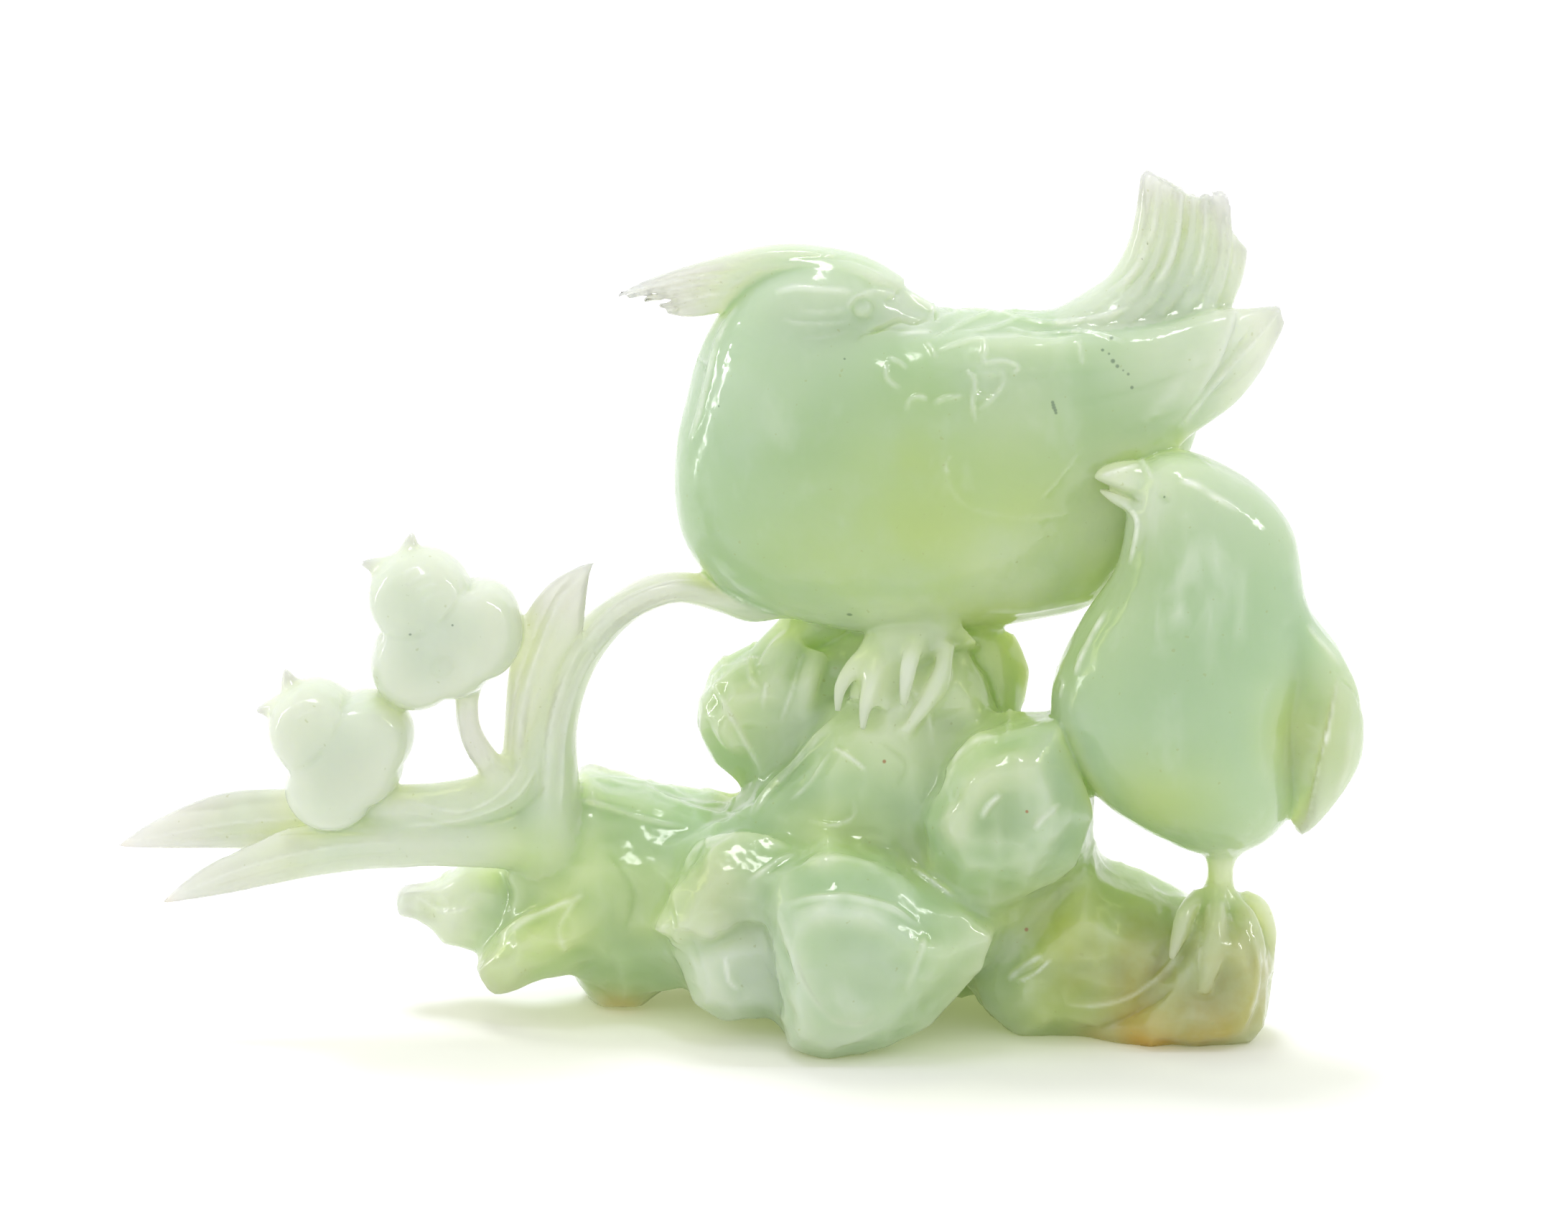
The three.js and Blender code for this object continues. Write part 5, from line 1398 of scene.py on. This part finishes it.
def jade_colour(n, tints):
    """The stone's colour: first by its thickness, then each tint laid over it by the number that the mesh
    stores for it, then clouds, wisps, flecks and specks. The glow, milk and veil tints are partly painted
    light and painted highlights, and the olive tint is partly painted shade."""
    thick = n.number("thick")
    colour = n.mix(n.curve(thick, 0.25, 0.55), tints.thin, tints.pale)
    colour = n.mix(n.curve(thick, 0.5, 0.85), colour, tints.mint)
    colour = n.mix(n.times(n.number("warm"), 0.95), colour, tints.yellow_green)
    # Painted light: hollows and shaded places brightened towards the glow tint
    colour = n.mix(n.times(n.number("painted_nook_light"), 0.75), colour, tints.painted_glow)
    # Partly painted light: the milk tint also lifts shaded places
    colour = n.mix(n.number("milk_and_painted_light"), colour, tints.milk_and_painted_light)
    colour = n.mix(n.times(n.number("ivory"), 0.55), colour, tints.ivory)
    mottle = n.curve(n.noise(220.0, detail=3.0, roughness=0.6), 0.40, 0.62, 0.85, 1.0)
    # The olive stain, and in a few places painted shade on lit tops
    colour = n.mix(n.times(n.number("olive_stain_and_shade"), mottle), colour, tints.olive_stain_and_shade)
    colour = n.mix(n.number("rust"), colour, tints.rust)
    # Painted highlights and whitish veils along the strokes, and painted light in the shaded veil zones
    colour = n.mix(n.times(n.number("veil"), 0.85), colour, tints.veil)
    cloud = n.curve(n.noise(34.0, detail=4.0, roughness=0.55), 0.46, 0.72)
    colour = n.mix(n.times(cloud, 0.4), colour, tints.cloud)
    wisp = n.curve(n.noise(110.0, detail=3.0, roughness=0.6, upright=2.0), 0.54, 0.74)
    colour = n.mix(n.times(wisp, 0.16), colour, tints.wisp)
    fleck = n.curve(n.noise(900.0, detail=1.0), 0.74, 0.80)
    colour = n.mix(n.times(fleck, 0.35), colour, tints.fleck)
    colour = n.mix(n.times(specks(n, DARK_SPECKS), 0.6), colour, tints.dark_speck)
    return n.mix(n.times(specks(n, BROWN_SPECKS), 0.8), colour, tints.brown_speck)


def blobs(points, spots):
    """The greatest of several soft balls at each point. A spot is (x, y, z, half size, strength)."""
    total = np.zeros(len(points))
    for x, y, z, size, strength in spots:
        away = np.linalg.norm(points - np.array([x, y, z]), axis=1) / size
        total = np.maximum(total, strength * np.exp(-(away**2)))
    return total


def numbers_for(field, points, normals):
    """What the material reads at each corner: how thick the stone is, and how much of each tint lies there.
    Legs count as thick. Plants and blossoms are ivory but for their roots, the tail is partly so, and the
    crest more and more towards its tips. The veil is mostly painted highlight; the nook glow, milk and veil
    zones partly paint light into shaded places; the olive zones partly paint shade."""
    label = labels_at(field, points, normals)
    thick = thickness_at(field, points, normals)
    patchy = np.clip(0.7 + 0.8 * value_noise(points, 1.8, 9), 0, 1)
    veil = carve(points, normals, label, "veil") * patchy + blobs(points, PAINTED_LIGHT_VEIL_ZONES)
    pale = np.isin(label, GREEN + PETAL) * (1 - blobs(points, ROOT_ZONES)) + 0.6 * (label == TAIL)
    pale = pale + (label == CREST) * np.clip((8 - points[:, 0]) / 16, 0.1, 1)
    noise = 0.75 + 0.35 * value_noise(points, 14.0, 8)
    numbers = {
        "thick": np.where(label == LEG, np.maximum(thick, 0.6), thick),
        "veil": np.clip(veil, 0, 1),
        "ivory": np.clip(np.maximum(pale, blobs(points, IVORY_ZONES)), 0, 1),
        "milk_and_painted_light": np.clip(blobs(points, MILK_AND_LIGHT_ZONES), 0, 1),
        "painted_nook_light": np.maximum(nook_glow_mask_at(field, points, normals), blobs(points, PAINTED_GLOW_ZONES)),
    }
    for name, zones in (("warm", WARM_ZONES), ("olive_stain_and_shade", OLIVE_AND_SHADE_ZONES), ("rust", RUST_ZONES)):
        numbers[name] = np.clip(blobs(points, zones) * noise, 0, 1)
    return numbers


def build_carving(settings):
    """The carving's mesh in metres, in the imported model's frame, with the numbers its material reads: the
    skin of the grid, moved by the relief, thinned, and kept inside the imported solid's box."""
    field = carved_field(settings.cell_mm)
    rough = mesh_from("rough", *field.skin())
    moved, carved = relief(field, rough, settings.relief)
    rough.vertices.foreach_set("co", moved.astype(np.float32).ravel())
    rough.update()
    mesh = fewer_faces(rough, settings.triangle_limit, carved)
    points, normals = places_of(mesh), normals_of(mesh)
    for name, values in numbers_for(field, points, normals).items():
        add_number(mesh, name, values)
    placed = np.clip(points + CENTRING, CAD_BOX_MM[0] + BOX_MARGIN, CAD_BOX_MM[1] - BOX_MARGIN) * MM
    mesh.vertices.foreach_set("co", placed.astype(np.float32).ravel())
    mesh.polygons.foreach_set("use_smooth", np.ones(len(mesh.polygons), bool))
    mesh.update()
    return mesh


def tint(name, description, default):
    """A colour that a user can change."""
    return FloatVectorProperty(
        name=name, description=description, default=default, subtype="COLOR", size=3, min=0.0, max=1.0
    )


class JadeTints(bpy.types.PropertyGroup):
    """The stone's colours, some of them painted light, highlight or shade"""

    thin: tint("Thin edges", "Where hardly any stone lies under the skin", (0.60, 0.605, 0.57))
    pale: tint("Pale green", "Where the stone is a little thicker", (0.53, 0.61, 0.45))
    mint: tint("Mint green", "In the round bodies", (0.37, 0.53, 0.31))
    yellow_green: tint("Yellow green", "In the thick middle", (0.49, 0.59, 0.09))
    # Painted light: a bright tint laid into hollows in place of light passing through the stone
    painted_glow: tint("Glow", "In hollows that light reaches through the stone", (0.64, 0.75, 0.36))
    # Milk is partly the stone's paler colour and partly painted light in shaded places
    milk_and_painted_light: tint("Milk", "In the milky zones", (0.58, 0.65, 0.53))
    ivory: tint("Ivory", "On leaves, blossoms, crest and tail", (0.68, 0.68, 0.63))
    # Olive is the stain at the right foot and also painted shade on a few lit tops
    olive_stain_and_shade: tint("Olive", "The stain at the right foot", (0.35, 0.31, 0.012))
    rust: tint("Rust", "At the ground and the leaf tips", (0.62, 0.37, 0.05))
    # Painted highlight colour: the veil along carved ridges is mostly a painted highlight, and it also lifts
    # shaded zones
    veil: tint("Veil", "Along carved ridges", (0.86, 0.89, 0.84))
    cloud: tint("Cloud", "Broad soft clouds", (0.50, 0.60, 0.50))
    wisp: tint("Wisp", "Fine upright wisps", (0.70, 0.77, 0.68))
    fleck: tint("Fleck", "Small faint flecks", (0.36, 0.38, 0.16))
    dark_speck: tint("Dark speck", "Small dark inclusions", (0.07, 0.13, 0.08))
    brown_speck: tint("Brown speck", "Small brown inclusions", (0.34, 0.12, 0.02))


class JadeSettings(bpy.types.PropertyGroup):
    """What can be set before the carving is built"""

    cell_mm: FloatProperty(
        name="Cell", description="Step of the distance grid in mm", default=0.45, min=0.3, max=2.0
    )
    triangle_limit: IntProperty(
        name="Triangles", description="Most triangles that the carving keeps", default=197000, min=10000
    )
    relief: FloatProperty(
        name="Relief", description="Height of waves, chips and strokes, 1 as carved", default=1.0, min=0.0
    )


class StageSettings(bpy.types.PropertyGroup):
    """What can be set before the stage is built"""

    floor_size: FloatProperty(
        name="Floor", description="Side of the floor", default=6.0, unit="LENGTH", subtype="DISTANCE"
    )
    world_strength: FloatProperty(
        name="Surround", description="Brightness of the white surround", default=1.12
    )
    sun_strength: FloatProperty(name="Sun", description="Brightness of the light from behind", default=2.0)


class JADE_OT_carving(bpy.types.Operator):
    """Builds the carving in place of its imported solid"""

    bl_idname = "jade.carving"
    bl_label = "Build the carving"

    def execute(self, context):
        """Makes the mesh and its material, hangs it on the root body and hides the imported solid."""
        mesh = build_carving(context.scene.jade_settings)
        piece = bpy.data.objects.new("jade_birds", mesh)
        context.collection.objects.link(piece)
        piece.data.materials.append(jade_material(context.scene.jade_tints))
        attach(piece, "root")
        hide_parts("jade_carving")
        return {"FINISHED"}


def linked(name, data):
    """An object with this data, in the scene."""
    item = bpy.data.objects.new(name, data)
    bpy.context.collection.objects.link(item)
    return item


def white_floor(side):
    """A square sheet of white paper around the origin."""
    half = side / 2
    corners = np.array([[-half, -half, 0], [half, -half, 0], [half, half, 0], [-half, half, 0]])
    mesh = mesh_from("floor", corners, np.array([[0, 1, 2, 3]]))
    floor = linked("floor", mesh)
    paper = bpy.data.materials.new("white_paper")
    paper.use_nodes = True
    shader = paper.node_tree.nodes["Principled BSDF"]
    shader.inputs["Base Color"].default_value = (0.80, 0.80, 0.795, 1)
    shader.inputs["Roughness"].default_value = 0.8
    shader.inputs["Specular IOR Level"].default_value = 0.0
    mesh.materials.append(paper)
    return floor


def surround(strength):
    """A white tent: full white up to 25 degrees above the table, and dimmer overhead."""
    world = bpy.data.worlds.new("surround")
    world.use_nodes = True
    n = Nodes(world.node_tree)
    background = world.node_tree.nodes["Background"]
    background.inputs[0].default_value = (1, 1, 1, 1)
    where = n.new("ShaderNodeTexCoord").outputs["Generated"]
    parts = n.new("ShaderNodeSeparateXYZ")
    n.link(where, parts.inputs[0])
    n.link(n.curve(parts.outputs[2], 0.42, 0.9, strength, 0.6 * strength), background.inputs[1])
    return world


def sun_from_behind(strength):
    """A broad soft sun, high behind the carving and a little to its right."""
    sun = bpy.data.lights.new("high_back", "SUN")
    sun.energy = strength
    sun.angle = math.radians(22)
    lamp = linked("high_back", sun)
    lamp.rotation_euler = (math.radians(-27), math.radians(-8), 0)
    lamp.visible_transmission = False
    lamp.visible_glossy = False


def area_light(name, place, size, power):
    """A soft oblong light at a place, turned to the middle of the carving."""
    light = bpy.data.lights.new(name, "AREA")
    light.shape = "RECTANGLE"
    light.size, light.size_y = size
    light.energy = power
    lamp = linked(name, light)
    lamp.location = place
    look = np.array(LIGHT_AIM, float) - np.array(place, float)
    flat = math.hypot(look[0], look[1])
    lamp.rotation_euler = (math.atan2(flat, -look[2]), 0, math.atan2(look[1], look[0]) - math.pi / 2)


def photo_camera():
    """The camera that took the photo: its lens is the sensor's width times the focal length in pixels, over
    the photo's width in pixels."""
    data = bpy.data.cameras.new("camera")
    data.sensor_width = SENSOR_WIDTH
    data.lens = SENSOR_WIDTH * FOCAL_LENGTH / PHOTO_SIZE[0]
    data.clip_end = 50.0
    camera = linked("camera", data)
    camera.location = (VIEW_AIM - VIEW_DISTANCE * VIEW_AHEAD + CENTRING) * MM
    camera.rotation_euler = (math.pi / 2 - VIEW_TILT, 0, 0)
    return camera


class JADE_OT_stage(bpy.types.Operator):
    """Builds the floor, the lights, the surround and the camera"""

    bl_idname = "jade.stage"
    bl_label = "Build the stage"

    def execute(self, context):
        """Makes each part of the stage in turn."""
        settings = context.scene.jade_stage
        white_floor(settings.floor_size)
        context.scene.world = surround(settings.world_strength)
        context.scene.view_settings.view_transform = "Standard"
        sun_from_behind(settings.sun_strength)
        for light in AREA_LIGHTS:
            area_light(*light)
        context.scene.camera = photo_camera()
        return {"FINISHED"}


class JADE_PT_panel(bpy.types.Panel):
    """The carving's panel in the sidebar"""

    bl_label = "Jade Bird Carving"
    bl_idname = "JADE_PT_panel"
    bl_space_type = "VIEW_3D"
    bl_region_type = "UI"
    bl_category = "Jade"

    def draw(self, context):
        """The settings and a button for each operator."""
        column = self.layout.column()
        scene = context.scene
        for settings in (scene.jade_settings, scene.jade_tints):
            for name in settings.__annotations__:
                column.prop(settings, name)
        column.operator("jade.carving")
        for name in scene.jade_stage.__annotations__:
            column.prop(scene.jade_stage, name)
        column.operator("jade.stage")


GROUPS = {"jade_settings": JadeSettings, "jade_tints": JadeTints, "jade_stage": StageSettings}
CLASSES = (*GROUPS.values(), JADE_OT_carving, JADE_OT_stage, JADE_PT_panel)


def register():
    """Adds the classes and the scene's settings."""
    for cls in CLASSES:
        bpy.utils.register_class(cls)
    for name, group in GROUPS.items():
        setattr(bpy.types.Scene, name, PointerProperty(type=group))


def unregister():
    """Takes them away again."""
    for name in GROUPS:
        delattr(bpy.types.Scene, name)
    for cls in reversed(CLASSES):
        bpy.utils.unregister_class(cls)


def main():
    """Builds everything."""
    register()
    bpy.ops.jade.carving()
    bpy.ops.jade.stage()


if __name__ == "__main__":
    main()
